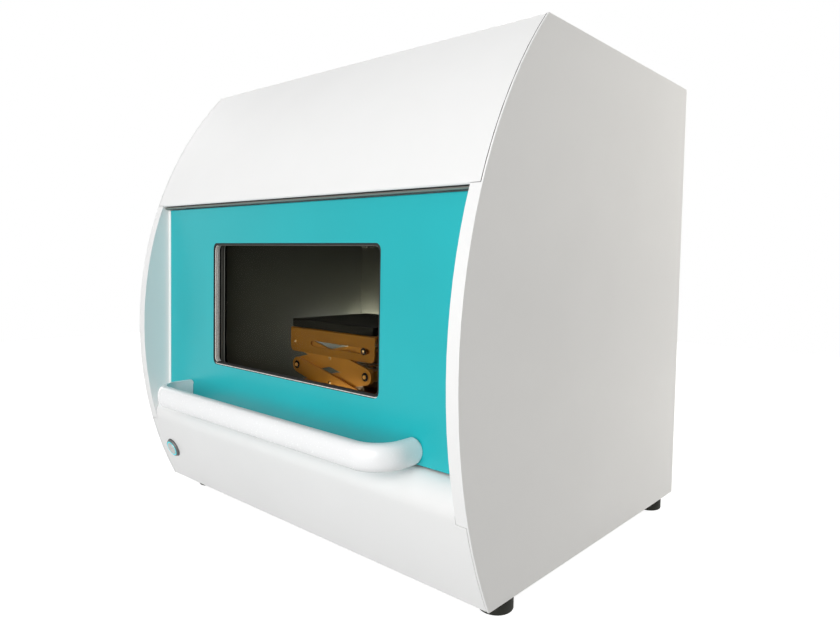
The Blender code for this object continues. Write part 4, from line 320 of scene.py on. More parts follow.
class Finish(Graph):
    """A Principled shader fed by patterns on Object coordinates."""

    def __init__(self, name, roughness, metallic=0.0):
        self.material = bpy.data.materials.new(name)
        super().__init__(self.material)
        self.shader = self.nodes["Principled BSDF"]
        self.set(Roughness=roughness, Metallic=metallic)

    def noise(self, scale, detail=2.0, rough=0.5, stretch=None):
        vector = self.place
        if stretch:
            vector = self.add("ShaderNodeMapping", {"Vector": vector, "Scale": stretch})
        return self.add("ShaderNodeTexNoise", {
            "Vector": vector, "Scale": scale, "Detail": detail, "Roughness": rough})

    def cells(self, scale, output=0):
        return self.add("ShaderNodeTexVoronoi", {"Vector": self.place, "Scale": scale}, output)

    def remap(self, value, low, high, start=0.3, end=0.7):
        return self.add("ShaderNodeMapRange", {
            "Value": value, "From Min": start, "From Max": end, "To Min": low, "To Max": high})

    def mixed(self, factor, first, second):
        return self.add("ShaderNodeMix", {0: factor, 6: first, 7: second}, 2, data_type="RGBA")

    def shades(self, value, tone, first, second, start=0.3, end=0.7):
        """A colour that runs between two shades of a tone."""
        factor = self.remap(value, 0.0, 1.0, start, end)
        return self.mixed(factor, shade(tone, first), shade(tone, second))

    def bump(self, height, depth):
        """Adds relief whose height map runs over the depth given."""
        inputs = {"Height": height, "Strength": 1.0, "Distance": depth}
        return self.set(Normal=self.add("ShaderNodeBump", inputs))

    def set(self, **values):
        """Feeds the shader's inputs, by their names with _ for each space."""
        for key, value in values.items():
            self.feed(self.shader.inputs[key.replace("_", " ")], value)
        return self


def shade(tone, factor):
    return tuple(min(1.0, channel * factor) for channel in tone)


def powder_coat(name, tone, rough, grain=850.0, depth=0.000012, spread=0.012):
    """Baked powder: an even tone with a fine orange-peel skin."""
    made = Finish(name, rough)
    skin = made.noise(grain, 2.0, 0.45)
    made.set(Base_Color=made.shades(made.noise(9.0, 3.0), tone, 1 - spread, 1 + spread),
             Roughness=made.remap(skin, rough - 0.03, rough + 0.04))
    return made.bump(skin, depth)


def moulded(name, tone, rough, grain=1600.0, depth=0.00002):
    """Moulded plastic with a fine spark-eroded skin."""
    made = Finish(name, rough)
    skin = made.noise(grain, 3.0, 0.6)
    made.set(Base_Color=made.shades(skin, tone, 0.85, 1.2),
             Roughness=made.remap(made.noise(60.0, 3.0), rough - 0.05, rough + 0.06))
    return made.bump(skin, depth)


def brushed(name, tone, rough, stretch=(40.0, 900.0, 900.0), depth=0.000004):
    """Metal with fine grinding lines along one direction."""
    made = Finish(name, rough, 1.0)
    lines = made.noise(1.0, 4.0, 0.6, stretch)
    worn, tones = made.noise(22.0, 3.0), made.shades(lines, tone, 0.88, 1.08)
    made.set(Base_Color=made.mixed(made.remap(worn, 0.0, 0.35), tones, shade(tone, 0.82)),
             Roughness=made.remap(lines, rough - 0.07, rough + 0.09))
    return made.bump(lines, depth)


def anodised(name, tone, rough, metallic=1.0, grain=1400.0, depth=0.000006, spread=0.10):
    """Etched and dyed metal: a matt skin with soft changes of tone."""
    made = Finish(name, rough, metallic)
    skin = made.noise(grain, 3.0, 0.6)
    tones = made.shades(made.noise(30.0, 4.0, 0.55), tone, 1 - spread, 1 + spread)
    made.set(Base_Color=made.mixed(made.remap(skin, 0.0, 0.25), tones, shade(tone, 0.7)),
             Roughness=made.remap(skin, rough - 0.05, rough + 0.07))
    return made.bump(skin, depth)


def galvanised(name, tone, rough):
    """Plated sheet with a faint spangle."""
    made = Finish(name, rough, 1.0)
    spangle = made.add("ShaderNodeRGBToBW", {"Color": made.cells(110.0, 1)})
    made.set(Base_Color=made.shades(spangle, tone, 0.90, 1.06, 0.0, 1.0),
             Roughness=made.remap(made.noise(150.0, 3.0), rough - 0.06, rough + 0.08))
    return made.bump(made.noise(700.0, 2.0), 0.000005)


def cast_silver(name, tone, rough):
    """Bright pearl-blasted lining with a coarse glitter."""
    made = Finish(name, rough, 0.35)
    made.set(Base_Color=made.shades(made.cells(900.0), tone, 1.1, 0.62, 0.1, 0.8),
             Roughness=made.remap(made.noise(500.0, 3.0), rough - 0.08, rough + 0.14))
    return made.bump(made.noise(1300.0, 3.0, 0.65), 0.00006)


def satin_bar(name, tone, rough, metallic=0.6):
    """Drawn metal with long soft lines along X."""
    made = Finish(name, rough, metallic)
    lines = made.noise(1.0, 4.0, 0.6, (12.0, 1400.0, 1400.0))
    made.set(Base_Color=made.shades(lines, tone, 0.85, 1.15),
             Roughness=made.remap(lines, rough - 0.06, rough + 0.08))
    return made.bump(lines, 0.000004)


def glazing(name):
    """Thick leaded glass: a little brown, with a trace of dust."""
    made = Finish(name, 0.0)
    dust = made.noise(26.0, 5.0, 0.6)
    tones = made.mixed(made.remap(dust, 0.0, 1.0), (0.61, 0.605, 0.545), (0.64, 0.635, 0.575))
    return made.set(Base_Color=tones, Roughness=made.remap(dust, 0.0, 0.015, 0.5, 0.8),
                    Transmission_Weight=1.0, IOR=1.05, Specular_IOR_Level=0.0)


def diffuser(name, tone, strength):
    """Lit plastic with faint ribs."""
    made = Finish(name, 0.35)
    ribs = made.noise(1.0, 1.0, 0.5, (300.0, 20.0, 20.0))
    return made.set(Base_Color=made.shades(ribs, tone, 0.93, 1.0), Emission_Color=tone,
                    Emission_Strength=strength)


def circuit_lacquer(name, tone):
    """Green lacquer over copper tracks."""
    made = Finish(name, 0.32)
    turn = {"Vector": made.place, "Rotation": (pi / 2, 0.0, 0.0)}
    upright = made.add("ShaderNodeMapping", turn)
    tracks = made.add("ShaderNodeTexBrick", {
        "Vector": upright, "Scale": 90.0, "Mortar Size": 0.035, "Mortar Smooth": 0.2,
        "Brick Width": 0.9, "Row Height": 0.16}, 1)
    gate = made.remap(made.cells(38.0), 0.0, 1.0, 0.35, 0.55)
    lines = made.add("ShaderNodeMath", {0: tracks, 1: gate}, operation="MULTIPLY")
    made.set(Base_Color=made.mixed(lines, tone, (0.10, 0.30, 0.09)),
             Roughness=made.remap(made.noise(200.0), 0.26, 0.40))
    return made.bump(lines, 0.00003)


# Finishes with less gloss than the shader has by itself
GLOSS = {"teal_powder": 0.38, "foot_rubber": 0.3, "pivot_black": 0.15, "stage_black": 0.15}


def make_finish(name):
    """Builds the finish of that name from the settings."""
    paints, metals = settings().paints, settings().metals
    maker, *values = {
        "white_powder": (powder_coat, paints.white, 0.36),
        "teal_powder": (powder_coat, paints.teal, 0.34, 1100.0, 0.00001, 0.03),
        "grey_powder": (powder_coat, paints.grey, 0.45, 600.0, 0.00003),
        "handle_lacquer": (powder_coat, paints.handle, 0.24, 500.0, 0.000004),
        "chamber_lining": (powder_coat, paints.chamber, 0.42, 420.0, 0.00005, 0.06),
        "foot_rubber": (moulded, paints.rubber, 0.7, 900.0, 0.00004),
        "black_moulding": (moulded, paints.plastic, 0.42),
        "bright_steel": (brushed, metals.silver, 0.26),
        "upright_brushed": (brushed, metals.silver, 0.30, (900.0, 900.0, 40.0)),
        "blasted_silver": (cast_silver, metals.silver, 0.42),
        # Pinkish white painted highlight for the sleeve's front rim and the sill
        "sleeve_silver": (cast_silver, (0.98, 0.90, 0.84), 0.40),
        # Dark steel of the button's bezel: its darkness is a painted dark reflection on the flank
        "dark_steel": (brushed, (0.13, 0.12, 0.11), 0.20),
        "speckled_steel": (cast_silver, shade(metals.silver, 0.85), 0.34),
        # Painted reflections on the strip under the hood, one colour for each half
        "strip_upper": (satin_bar, metals.strip_upper, 0.42),
        "strip_lower": (satin_bar, metals.strip_lower, 0.42),
        # Grey painted highlight for groove edges in the reveal and the top of the sleeves
        "reveal_grey": (satin_bar, metals.reveal, 0.5, 0.3),
        # Dark brown-grey painted shade for the seams beside the side panels and under the hood's
        # lip
        "seam_black": (moulded, (0.10, 0.092, 0.085), 0.8),
        # Black of the window trim and washers, also used as painted shade on faces that stand for
        # shadow
        "trim_black": (moulded, (0.006, 0.006, 0.006), 0.75),
        "pivot_black": (anodised, (0.003, 0.003, 0.003), 0.6, 0.0),
        "pivot_bronze": (anodised, (0.98, 0.50, 0.13), 0.38, 0.4),
        "rivet_bright": (brushed, (0.96, 0.66, 0.36), 0.24),
        "plated_sheet": (galvanised, metals.zinc, 0.38),
        "dark_shield": (anodised, metals.shield, 0.38),
        "bronze_sheet": (anodised, metals.bronze, 0.38, 0.6, 900.0, 0.000008, 0.08),
        # Darker copy of the arms' bronze: painted shade on the trays
        "bronze_tray": (anodised, metals.tray, 0.40, 0.5, 900.0, 0.000008, 0.10),
        "stage_black": (anodised, metals.plate, 0.62, 0.0),
        "copper_fins": (brushed, metals.copper, 0.34),
        "leaded_glass": (glazing,),
        "lamp_diffuser": (diffuser, paints.lamp, 1.2),
        "ring_light": (diffuser, paints.ring, 0.25),
        "circuit_board": (circuit_lacquer, paints.board),
    }[name]
    made = maker(name, *values)
    if name in GLOSS:
        made.set(Specular_IOR_Level=GLOSS[name])
    return made.material


def finish(name):
    return bpy.data.materials.get(name) or make_finish(name)


# Shaping

def sealed(bm):
    """Welds a shape and turns its faces outwards."""
    bmesh.ops.remove_doubles(bm, verts=bm.verts, dist=WELD)
    bmesh.ops.recalc_face_normals(bm, faces=bm.faces)
    return bm


def merged(node):
    """A copy of a node's mesh with its flat faces whole again."""
    bm = bmesh.new()
    bm.from_mesh(NODES[node].data)
    bmesh.ops.remove_doubles(bm, verts=bm.verts, dist=WELD)
    bmesh.ops.dissolve_limit(bm, angle_limit=FLAT_ANGLE, verts=bm.verts, edges=bm.edges)
    bmesh.ops.recalc_face_normals(bm, faces=bm.faces)
    return bm


def placed(bm, place, along=(0, 0, 1)):
    """Stands a shape made on +Z at a place, facing along a direction."""
    turn = Vector(along).to_track_quat("Z", "Y").to_matrix().to_4x4()
    bmesh.ops.transform(bm, matrix=Matrix.Translation(place) @ turn, verts=bm.verts)
    return bm


def turned(profile, place=(0, 0, 0), along=(0, 0, 1), steps=ROUND_STEPS, closed=False):
    """A turned shape from (radius, height) points."""
    bm = bmesh.new()
    points = [bm.verts.new((radius, 0, height)) for radius, height in profile]
    pairs = list(zip(points, points[1:]))
    if closed:
        pairs.append((points[-1], points[0]))
    lines = [bm.edges.new(pair) for pair in pairs]
    bmesh.ops.spin(bm, geom=points + lines, cent=(0, 0, 0), axis=(0, 0, 1), dvec=(0, 0, 0),
                   angle=2 * pi, steps=steps, use_merge=True, use_duplicate=False)
    return placed(sealed(bm), place, along)


def repeated(shape, places, along):
    """Copies of a small shape made on +Z, one at each place, as one mesh."""
    whole = bmesh.new()
    for place in places:
        copy = placed(shape.copy(), place, along)
        held = bpy.data.meshes.new("held")
        copy.to_mesh(held)
        copy.free()
        whole.from_mesh(held)
        bpy.data.meshes.remove(held)
    shape.free()
    return whole


def crossings(xs, y, zs):
    """Places at one depth, at every pair of the x and z given."""
    return [(x, y, z) for x in xs for z in zs]


def parts_of(kind, geometry):
    return [part for part in geometry if isinstance(part, kind)]


def prism(section, low_x, high_x):
    """A bar along X with a section of (y, z) points."""
    bm = bmesh.new()
    face = bm.faces.new([bm.verts.new((low_x, y, z)) for y, z in section])
    grown_face(bm, [face], (high_x - low_x, 0, 0))
    bmesh.ops.recalc_face_normals(bm, faces=bm.faces)
    return bm


def banded(width, height, corner, section, steps=8):
    """A closed band round a rounded rectangle, from (inset, rise) points of its section."""
    bm = bmesh.new()
    bmesh.ops.create_grid(bm, x_segments=1, y_segments=1, size=0.5)
    bmesh.ops.scale(bm, vec=(width, height, 1.0), verts=bm.verts)
    bmesh.ops.bevel(bm, geom=bm.verts[:], offset=corner, offset_type="OFFSET", segments=steps,
                    profile=0.5, affect="VERTICES", material=-1)
    bmesh.ops.delete(bm, geom=bm.faces[:], context="FACES_ONLY")
    ring, points, inset, rise = bm.edges[:], bm.verts[:], 0.0, 0.0
    for index, (next_inset, next_rise) in enumerate([*section, section[0]]):
        if index:
            grown = bmesh.ops.extrude_edge_only(bm, edges=ring)["geom"]
            ring = parts_of(bmesh.types.BMEdge, grown)
            points = parts_of(bmesh.types.BMVert, grown)
        factors = [(side - 2 * next_inset) / (side - 2 * inset) for side in (width, height)]
        bmesh.ops.scale(bm, vec=(*factors, 1.0), verts=points)
        bmesh.ops.translate(bm, vec=(0, 0, next_rise - rise), verts=points)
        inset, rise = next_inset, next_rise
    return sealed(bm)


def dome(radius, height):
    """A domed rivet head on the XY plane."""
    angles = [radians(turn) for turn in range(0, 76, 15)]
    arc = [(radius * cos(turn), height * (0.25 + 0.75 * sin(turn))) for turn in angles]
    return turned([(0, 0), (radius, 0), *arc, (0, height)], steps=PIN_STEPS)


def washer(inner, outer, height, soft=0.0001):
    """A flat ring with broken edges on the XY plane."""
    return turned([(inner, 0), (outer, 0), (outer, height - soft), (outer - soft, height),
                   (inner + soft, height), (inner, height - soft)], closed=True)


def socket_head(radius, height, socket):
    """A domed screw head with a hexagonal socket on the XY plane."""
    bm = turned([(0, 0), (radius, 0), (radius, 0.45 * height), (0.93 * radius, 0.78 * height),
                 (0.78 * radius, height)], steps=PIN_STEPS)
    rim = [edge for edge in bm.edges if edge.is_boundary]
    corners = bmesh.ops.create_circle(bm, cap_ends=False, segments=6, radius=socket)["verts"]
    bmesh.ops.translate(bm, vec=(0, 0, height), verts=corners)
    mouth = list({edge for corner in corners for edge in corner.link_edges})
    bmesh.ops.bridge_loops(bm, edges=rim + mouth)
    grown = bmesh.ops.extrude_edge_only(bm, edges=mouth)["geom"]
    bmesh.ops.translate(bm, vec=(0, 0, -0.6 * height), verts=parts_of(bmesh.types.BMVert, grown))
    bmesh.ops.contextual_create(bm, geom=parts_of(bmesh.types.BMEdge, grown))
    bmesh.ops.recalc_face_normals(bm, faces=bm.faces)
    return bm


def linked(name, data):
    """Puts a mesh, a light or a camera into the scene."""
    made = bpy.data.objects.new(name, data)
    bpy.context.scene.collection.objects.link(made)
    return made


def mesh_object(name, bm, material):
    mesh = bpy.data.meshes.new(name)
    bm.to_mesh(mesh)
    bm.free()
    mesh.materials.append(material)
    return linked(name, mesh)


def piece(name, bm, look, body, stands_for=(), edge=0.0, steps=None):
    """Makes a shape a finished piece of the scene."""
    made = mesh_object(name, bm, finish(look))
    made.data.shade_smooth()
    if edge:
        bevel = made.modifiers.new("soft_edges", "BEVEL")
        bevel.width = edge
        bevel.segments = steps or settings().edges.steps
        bevel.limit_method = "ANGLE"
        bevel.angle_limit = SMOOTH_ANGLE
        bevel.use_clamp_overlap = True
        made.modifiers.new("even_shading", "WEIGHTED_NORMAL").keep_sharp = True
    else:
        made.data.set_sharp_from_angle(angle=SMOOTH_ANGLE)
    if stands_for:
        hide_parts(*stands_for)
    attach(made, body)
    return made


def grown_face(bm, faces, step):
    """Draws a face out along a step and returns the new end."""
    grown = bmesh.ops.extrude_face_region(bm, geom=faces)["geom"]
    bmesh.ops.translate(bm, vec=step, verts=parts_of(bmesh.types.BMVert, grown))
    return parts_of(bmesh.types.BMFace, grown)


def bent_face(bm, faces, centre, turn, steps=18):
    """Draws a face round an upright axis and returns the new end."""
    spun = bmesh.ops.spin(bm, geom=faces, cent=centre, axis=(0, 0, 1), dvec=(0, 0, 0),
                          angle=turn, steps=steps, use_merge=False, use_duplicate=False)
    return parts_of(bmesh.types.BMFace, spun["geom_last"])


def scale_about(bm, points, factor, height):
    """Scales points towards a level."""
    bmesh.ops.scale(bm, vec=(1, 1, factor), space=Matrix.Translation((0, 0, -height)),
                    verts=list(points))


def rounded_end(bm, front, rounds, height):
    """Draws a face through (distance out, scale) pairs and returns the new end."""
    for (before, first), (after, second) in zip(rounds, rounds[1:]):
        front = grown_face(bm, front, (0, before - after, 0))
        scale_about(bm, front[0].verts, second / first, height)
    return front


def dress(node, look, slot, edge, steps=None):
    """A softened copy of a node, which stands for it."""
    return piece(node + "_dressed", merged(node), look, NODES[node]["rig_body"], (node,),
                 edge, steps)


def dress_small(*rows):
    """Dresses nodes, given as (node, finish, slot), with the edge of small pieces."""
    for row in rows:
        dress(*row, settings().edges.small, 2)


def coat(node, look):
    """Gives a node that shows as it is its finish."""
    held = NODES[node]
    if held.material_slots:
        for place in held.material_slots:
            place.material = finish(look)
    else:
        held.data.materials.append(finish(look))


def recoat(made, looks, chosen):
    """Adds finishes to a piece and gives each face the one whose number is chosen for it."""
    for look in looks:
        made.data.materials.append(finish(look))
    for face in made.data.polygons:
        face.material_index = int(chosen(face.center, face.normal))


def seam_face(centre, normal):
    """Whether a face is a sheet's cut end or lies under the hood's lip: the faces that take
    painted seam shade.
    """
    cut_end = abs(normal.x) > SIDEWAYS and abs(centre.x) > SEAM_X
    return cut_end or (normal.z < DOWNWARD and STRIP_TOP < centre.z < STRIP_TOP + LIP_DEPTH)


# Pieces

class SPECTROMETER_OT_case_sheets(bpy.types.Operator):
    """Build the side panels, the hood, the top cover and the lower front panel"""
    bl_idname = "spectrometer.case_sheets"
    bl_label = "Case sheets"

    def execute(self, context):
        edges = settings().edges
        mark = settings().fasteners.weld_mark
        for node, side in (("side_panel_left", -1), ("side_panel_right", 1)):
            dress(node, "white_powder", "white_paint", edges.panel, 4)
            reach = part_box(node)[side > 0].x
            flat = turned([(0, 0), (mark, 0), (mark - 0.0006, 0.00004), (0.5 * mark, 0.00007),
                           (0, 0.00008)])
            spots = [(reach - side * MARK_SINK, y, z) for y, z in WELD_MARKS]
            piece(node.replace("panel", "marks"), repeated(flat, spots, (side, 0, 0)),
                  "white_powder", "case")
        dress("lower_front_panel", "white_powder", "white_paint", edges.sheet)
        # The cut ends of the hood and top cover and the underside of the lip take painted seam
        # shade.
        for node in ("hood_cover", "top_cover"):
            recoat(dress(node, "white_powder", "white_paint", edges.sheet), ("seam_black",),
                   seam_face)
        return {"FINISHED"}


class SPECTROMETER_OT_rear_and_base(bpy.types.Operator):
    """Build the rear panel and the base"""
    bl_idname = "spectrometer.rear_and_base"
    bl_label = "Rear and base"

    def execute(self, context):
        dress_small(*((node, "grey_powder", "grey_paint")
                      for node in ("rear_panel", "base_chassis")))
        low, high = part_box("rear_panel")
        back = high.y + STAND_OFF
        fan_low, fan_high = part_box("fan_frame")
        lid = (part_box("top_cover")[0].z + high.z) / 2 + 0.010
        places = [place for xs, zs in (
            ((low.x + REAR_INSET, high.x - REAR_INSET), REAR_SCREW_LEVELS),
            (BASE_SCREW_XS, (low.z + REAR_INSET,)),
            ((fan_low.x + FAN_INSET, fan_high.x - FAN_INSET),
             (fan_low.z + FAN_INSET, fan_high.z - FAN_INSET)),
            (TOP_SCREW_XS, (lid,))) for place in crossings(xs, back, zs)]
        head = socket_head(settings().fasteners.case_screw, height=0.0019, socket=0.0013)
        piece("rear_screws", repeated(head, places, BACKWARD), "bright_steel", "case")
        return {"FINISHED"}


class SPECTROMETER_OT_feet(bpy.types.Operator):
    """Build the four rubber feet"""
    bl_idname = "spectrometer.feet"
    bl_label = "Feet"

    def execute(self, context):
        for node in ("foot_front_left", "foot_front_right", "foot_rear_left", "foot_rear_right"):
            low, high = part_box(node)
            centre = (low + high) / 2
            radius, top = (high.x - low.x) / 2, high.z
            profile = [(0, top), (radius - 0.0008, top), (radius, top - 0.0008),
                       (radius, 0.0016), (radius - 0.0004, 0.0007), (radius - 0.0011, 0.0001),
                       (radius - 0.0018, 0), (0.0065, 0), (0.0060, 0.0012), (0.0045, 0.0062),
                       (0, 0.0062)]
            shape = turned(profile, (centre.x, centre.y, 0))
            piece(node + "_turned", shape, "foot_rubber", "case", (node,))
        return {"FINISHED"}


class SPECTROMETER_OT_lip_strip(bpy.types.Operator):
    """Build the bright strip under the lip of the hood"""
    bl_idname = "spectrometer.lip_strip"
    bl_label = "Strip under the hood"

    def execute(self, context):
        low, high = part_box("lip_strip")
        front, back, step = low.y, high.y, low.z + 0.55 * (high.z - low.z)
        top = high.z - 0.0008
        upper = [(front, step), (front, top), (back, top), (back, step)]
        lower = [(front + 0.0004, low.z + 0.0009), (front + 0.0004, step - STAND_OFF),
                 (back, step - STAND_OFF), (back, low.z), (front + 0.0011, low.z)]
        # The strip is split in two so that each half carries its own painted reflection.
        for name, section, look, edge in (("lip_strip_rail", upper, "strip_upper", FINE_EDGE),
                                          ("lip_strip_foot", lower, "strip_lower", 0.0002)):
            piece(name, prism(section, low.x, high.x), look, "case", ("lip_strip",),
                  edge, 2)
        return {"FINISHED"}


class SPECTROMETER_OT_chamber(bpy.types.Operator):
    """Build the bulkhead, the sample chamber, its lamp and the interlock"""
    bl_idname = "spectrometer.chamber"
    bl_label = "Bulkhead and chamber"

    def execute(self, context):
        dress_small(("front_bulkhead", "plated_sheet", "zinc_steel"),
                    ("sample_chamber", "chamber_lining", "chamber_grey"))
        dress("chamber_lamp", "lamp_diffuser", "lamp_white", 0.0012)
        dress_small(("interlock_switch", "black_moulding", "black_plastic"),
                    ("interlock_tongue", "plated_sheet", "zinc_steel"))
        return {"FINISHED"}


class SPECTROMETER_OT_door(bpy.types.Operator):
    """Build the door sheet, the window lining, the shield, the glass and its seal"""
    bl_idname = "spectrometer.door"
    bl_label = "Door and window"

    def execute(self, context):
        sheet = dress("door_panel", "teal_powder", "teal_paint", settings().edges.sheet)
        low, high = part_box("window_frame")
        # The sheet's cut edge round the opening takes the black finish: a dark edge that also
        # paints the shadow of the gap behind it.
        recoat(sheet, ("trim_black",), lambda centre, normal: (
            low.x < centre.x < high.x and low.z < centre.z < high.z
            and abs(normal.y) < EDGEWISE))
        dress("window_frame", "trim_black", "black_anodised", 0.00025, 2)
        dress_small(("door_shield", "dark_shield", "shield_aluminium"),
                    ("window_glass", "leaded_glass", "lead_glass"),
                    ("glass_retainer", "dark_shield", "dark_steel"),
                    ("door_gasket", "foot_rubber", "black_rubber"))
        self.add_trims(low, high)
        self.add_screws()
        return {"FINISHED"}

    def add_trims(self, low, high):
        """Sets the trim, the sleeves, the strip and the bead round the opening."""
        window, soft = settings().window, 0.0002
        corner = window.corner
        width = high.x - low.x - 2 * window.flange
        height = high.z - low.z - 2 * window.flange
        middle = (low.z + high.z) / 2

        def ring(name, section, look, slot, drop=0.0):
            """A band round the opening, with its sill lower by the drop."""
            band = placed(banded(width, height + drop, corner, section),
                          (0, DOOR_FACE, middle - drop / 2), OUTWARD)
            return piece(name, band, look, "door")

        def sleeve_face(centre, normal):
            """The number of a sleeve's finish: bright at the left as a painted highlight, grey
            above as a painted highlight line, else black as painted shade.
            """
            if centre.x < corner - width / 2:
                return 0
            return 2 if centre.z > middle + height / 2 - 0.5 * corner else 1

        front, back, reach = -0.0010, -0.0026, window.trim
        section = [(STAND_OFF, back), (STAND_OFF, front - soft), (STAND_OFF + soft, front),
                   (reach - soft, front), (reach, front - soft), (reach, back)]
        # The black trim in the gap between sheet and lining is a real trim that also paints the
        # gap's shadow.
        trim = ring("window_trim", section, "trim_black", "black_rubber")
        # The trim's faces along the sill take the bright finish: a painted highlight where light
        # falls on the sill.
        recoat(trim, ("sleeve_silver",), lambda centre, normal: (
            centre.z < middle - height / 2 + 0.3 * corner))
        outer, inner = window.sleeve, window.sleeve + 0.0005
        # The front sleeve's brighter finish paints the highlight on its rim; both sleeves are
        # bright only at the left, where light falls.
        for name, front, back, look in (
                ("window_sleeve", 0.0012, window.sleeve_step, "sleeve_silver"),
                ("window_sleeve_back", window.sleeve_step + soft, window.sleeve_end,
                 "blasted_silver")):
            section = [(outer, -back), (outer, -front), (inner - soft, -front),
                       (inner, -front - soft), (inner, -back)]
            sleeve = ring(name, section, look, "silver")
            recoat(sleeve, ("trim_black", "reveal_grey"), sleeve_face)
        # Two thin grey bands paint the light caught by the edges of the shield's grooves.
        for name, depth, broad, thick in (
                ("front_groove_highlight", window.strip_depth, window.strip_width, 0.0005),
                ("back_groove_highlight", window.back_highlight_depth, window.back_highlight_width, 0.0012)):
            front, back, bend = -depth, -depth - broad, 0.0003
            section = [(STAND_OFF, front), (thick * 0.7, front), (thick, front - bend),
                       (thick, back + bend), (thick * 0.7, back), (STAND_OFF, back)]
            ring(name, section, "reveal_grey", "shield_aluminium", window.sill_drop)

    def add_screws(self):
        """Sets the screws of the glass retainer."""
        low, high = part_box("glass_retainer")
        inset, level = RETAINER_INSET, high.y + STAND_OFF
        reach = high.x - low.x - 2 * inset
        xs = [low.x + inset + reach * part for part in (0, 1 / 3, 2 / 3, 1)]
        places = [*crossings(xs, level, (low.z + inset, high.z - inset)),
                  *crossings((xs[0], xs[-1]), level, ((low.z + high.z) / 2,))]
        head = socket_head(settings().fasteners.door_screw, height=0.0009, socket=0.0011)
        piece("retainer_screws", repeated(head, places, BACKWARD), "bright_steel",
              "door")


class SPECTROMETER_OT_hinge(bpy.types.Operator):
    """Give the door's long knuckled hinge its finishes"""
    bl_idname = "spectrometer.hinge"
    bl_label = "Door hinge"

    def execute(self, context):
        for node in ("door_hinge_leaf", "hinge_rail"):
            coat(node, "plated_sheet")
        coat("hinge_pin", "bright_steel")
        return {"FINISHED"}


# The handle's domed front, a superellipse, and the turns of its rounded ends
DOME_STEPS, DOME_POWER = 24, 0.8
END_TURNS = (0, 22.5, 45, 67.5, 90)


class SPECTROMETER_OT_handle(bpy.types.Operator):
    """Build the wide bar handle of the door"""
    bl_idname = "spectrometer.handle"
    bl_label = "Door handle"

    def execute(self, context):
        sizes = settings().handle
        low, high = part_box("door_handle")
        half_height = (high.z - low.z) / 2
        middle, seat = (low.z + high.z) / 2, high.y
        rim_half = high.x - sizes.dome
        edge = half_height - sizes.rim
        floor = edge - sizes.channel / 2
        turns = [pi / 2 - pi * step / DOME_STEPS for step in range(1, DOME_STEPS)]
        arc = [(sizes.dome * cos(turn) ** DOME_POWER,
                copysign(half_height * abs(sin(turn)) ** DOME_POWER, turn)) for turn in turns]
        section = [(0, half_height), *arc, (0, -half_height), (0, -edge),
                   (sizes.channel, -floor), (sizes.channel, floor), (0, edge)]
        bm = bmesh.new()
        corners = [bm.verts.new((-rim_half - out, seat, middle + up)) for out, up in section]
        front = [bm.faces.new(corners)]
        rounds = [(sizes.end_round * (1 - cos(radians(turn))),
                   1 - sizes.end_round * (1 - sin(radians(turn))) / half_height)
                  for turn in END_TURNS]
        leg, root = low.y + sizes.dome + sizes.bend, seat - rounds[-1][0]
        bend_x = rim_half - sizes.bend
        scale_about(bm, corners, rounds[0][1], middle)
        front = rounded_end(bm, front, rounds, middle)
        front = grown_face(bm, front, (0, leg - root, 0))
        front = bent_face(bm, front, (-bend_x, leg, middle), pi / 2)
        front = grown_face(bm, front, (2 * bend_x, 0, 0))
        front = bent_face(bm, front, (bend_x, leg, middle), pi / 2)
        front = grown_face(bm, front, (0, root - leg, 0))
        rounded_end(bm, front, rounds[::-1], middle)
        bmesh.ops.remove_doubles(bm, verts=bm.verts, dist=WELD)
        inner = [face for face in bm.faces if all(len(side.link_faces) > 2 for side in face.edges)]
        bmesh.ops.delete(bm, geom=inner, context="FACES_ONLY")
        bmesh.ops.recalc_face_normals(bm, faces=bm.faces)
        piece("door_handle_swept", bm, "handle_lacquer", "door", ("door_handle",),
              0.0005, 2)
        return {"FINISHED"}


# Name, finish, slot, body, node and (radius, height) profile of the button's turned pieces
# The bezel's dark steel paints the dark reflection on its flank; the black washer under the flange
# is a gasket that also paints the shadow of the gap there.
BUTTON_PIECES = (
    ("button_bezel_turned", "dark_steel", "silver", "case", ("button_bezel",), (
        (0.0130, 0.0001), (0.0134, 0.0004), (0.0134, 0.0009), (0.0131, 0.0015),
        (0.0118, 0.0031), (0.0115, 0.0033), (0.0112, 0.0033), (0.0111, 0.0029),
        (0.0111, -0.0100), (0.0100, -0.0100), (0.0100, 0.0001))),
    ("button_washer", "trim_black", "black_rubber", "case", (), (
        (0.0138, -0.0002), (0.0138, 0.0002), (0.0129, 0.0002), (0.0129, -0.0002))),
    ("button_ring_turned", "ring_light", "ring_cyan", "case", ("button_ring",), (
        (0.0110, 0.0032), (0.0108, 0.0035), (0.0095, 0.0035), (0.0093, 0.0032),
        (0.0093, -0.0018), (0.0110, -0.0018))),
    ("button_cap_turned", "speckled_steel", "silver", "button", ("button_cap",), (
        (0.0, 0.0033), (0.0015, 0.0033), (0.0019, 0.0036), (0.0060, 0.0040),
        (0.0086, 0.0039), (0.0089, 0.0038), (0.0091, 0.0035), (0.0091, -0.0060),
        (0.0, -0.0060))),
)


class SPECTROMETER_OT_power_button(bpy.types.Operator):
    """Build the bezel, the lit ring and the cap of the power button"""
    bl_idname = "spectrometer.power_button"
    bl_label = "Power button"

    def execute(self, context):
        for name, look, slot, body, stands_for, profile in BUTTON_PIECES:
            hollow = profile[0][0] > 0
            shape = turned(profile, BUTTON_PLACE, BUTTON_OUTWARD, closed=hollow)
            piece(name, shape, look, body, stands_for)
        return {"FINISHED"}


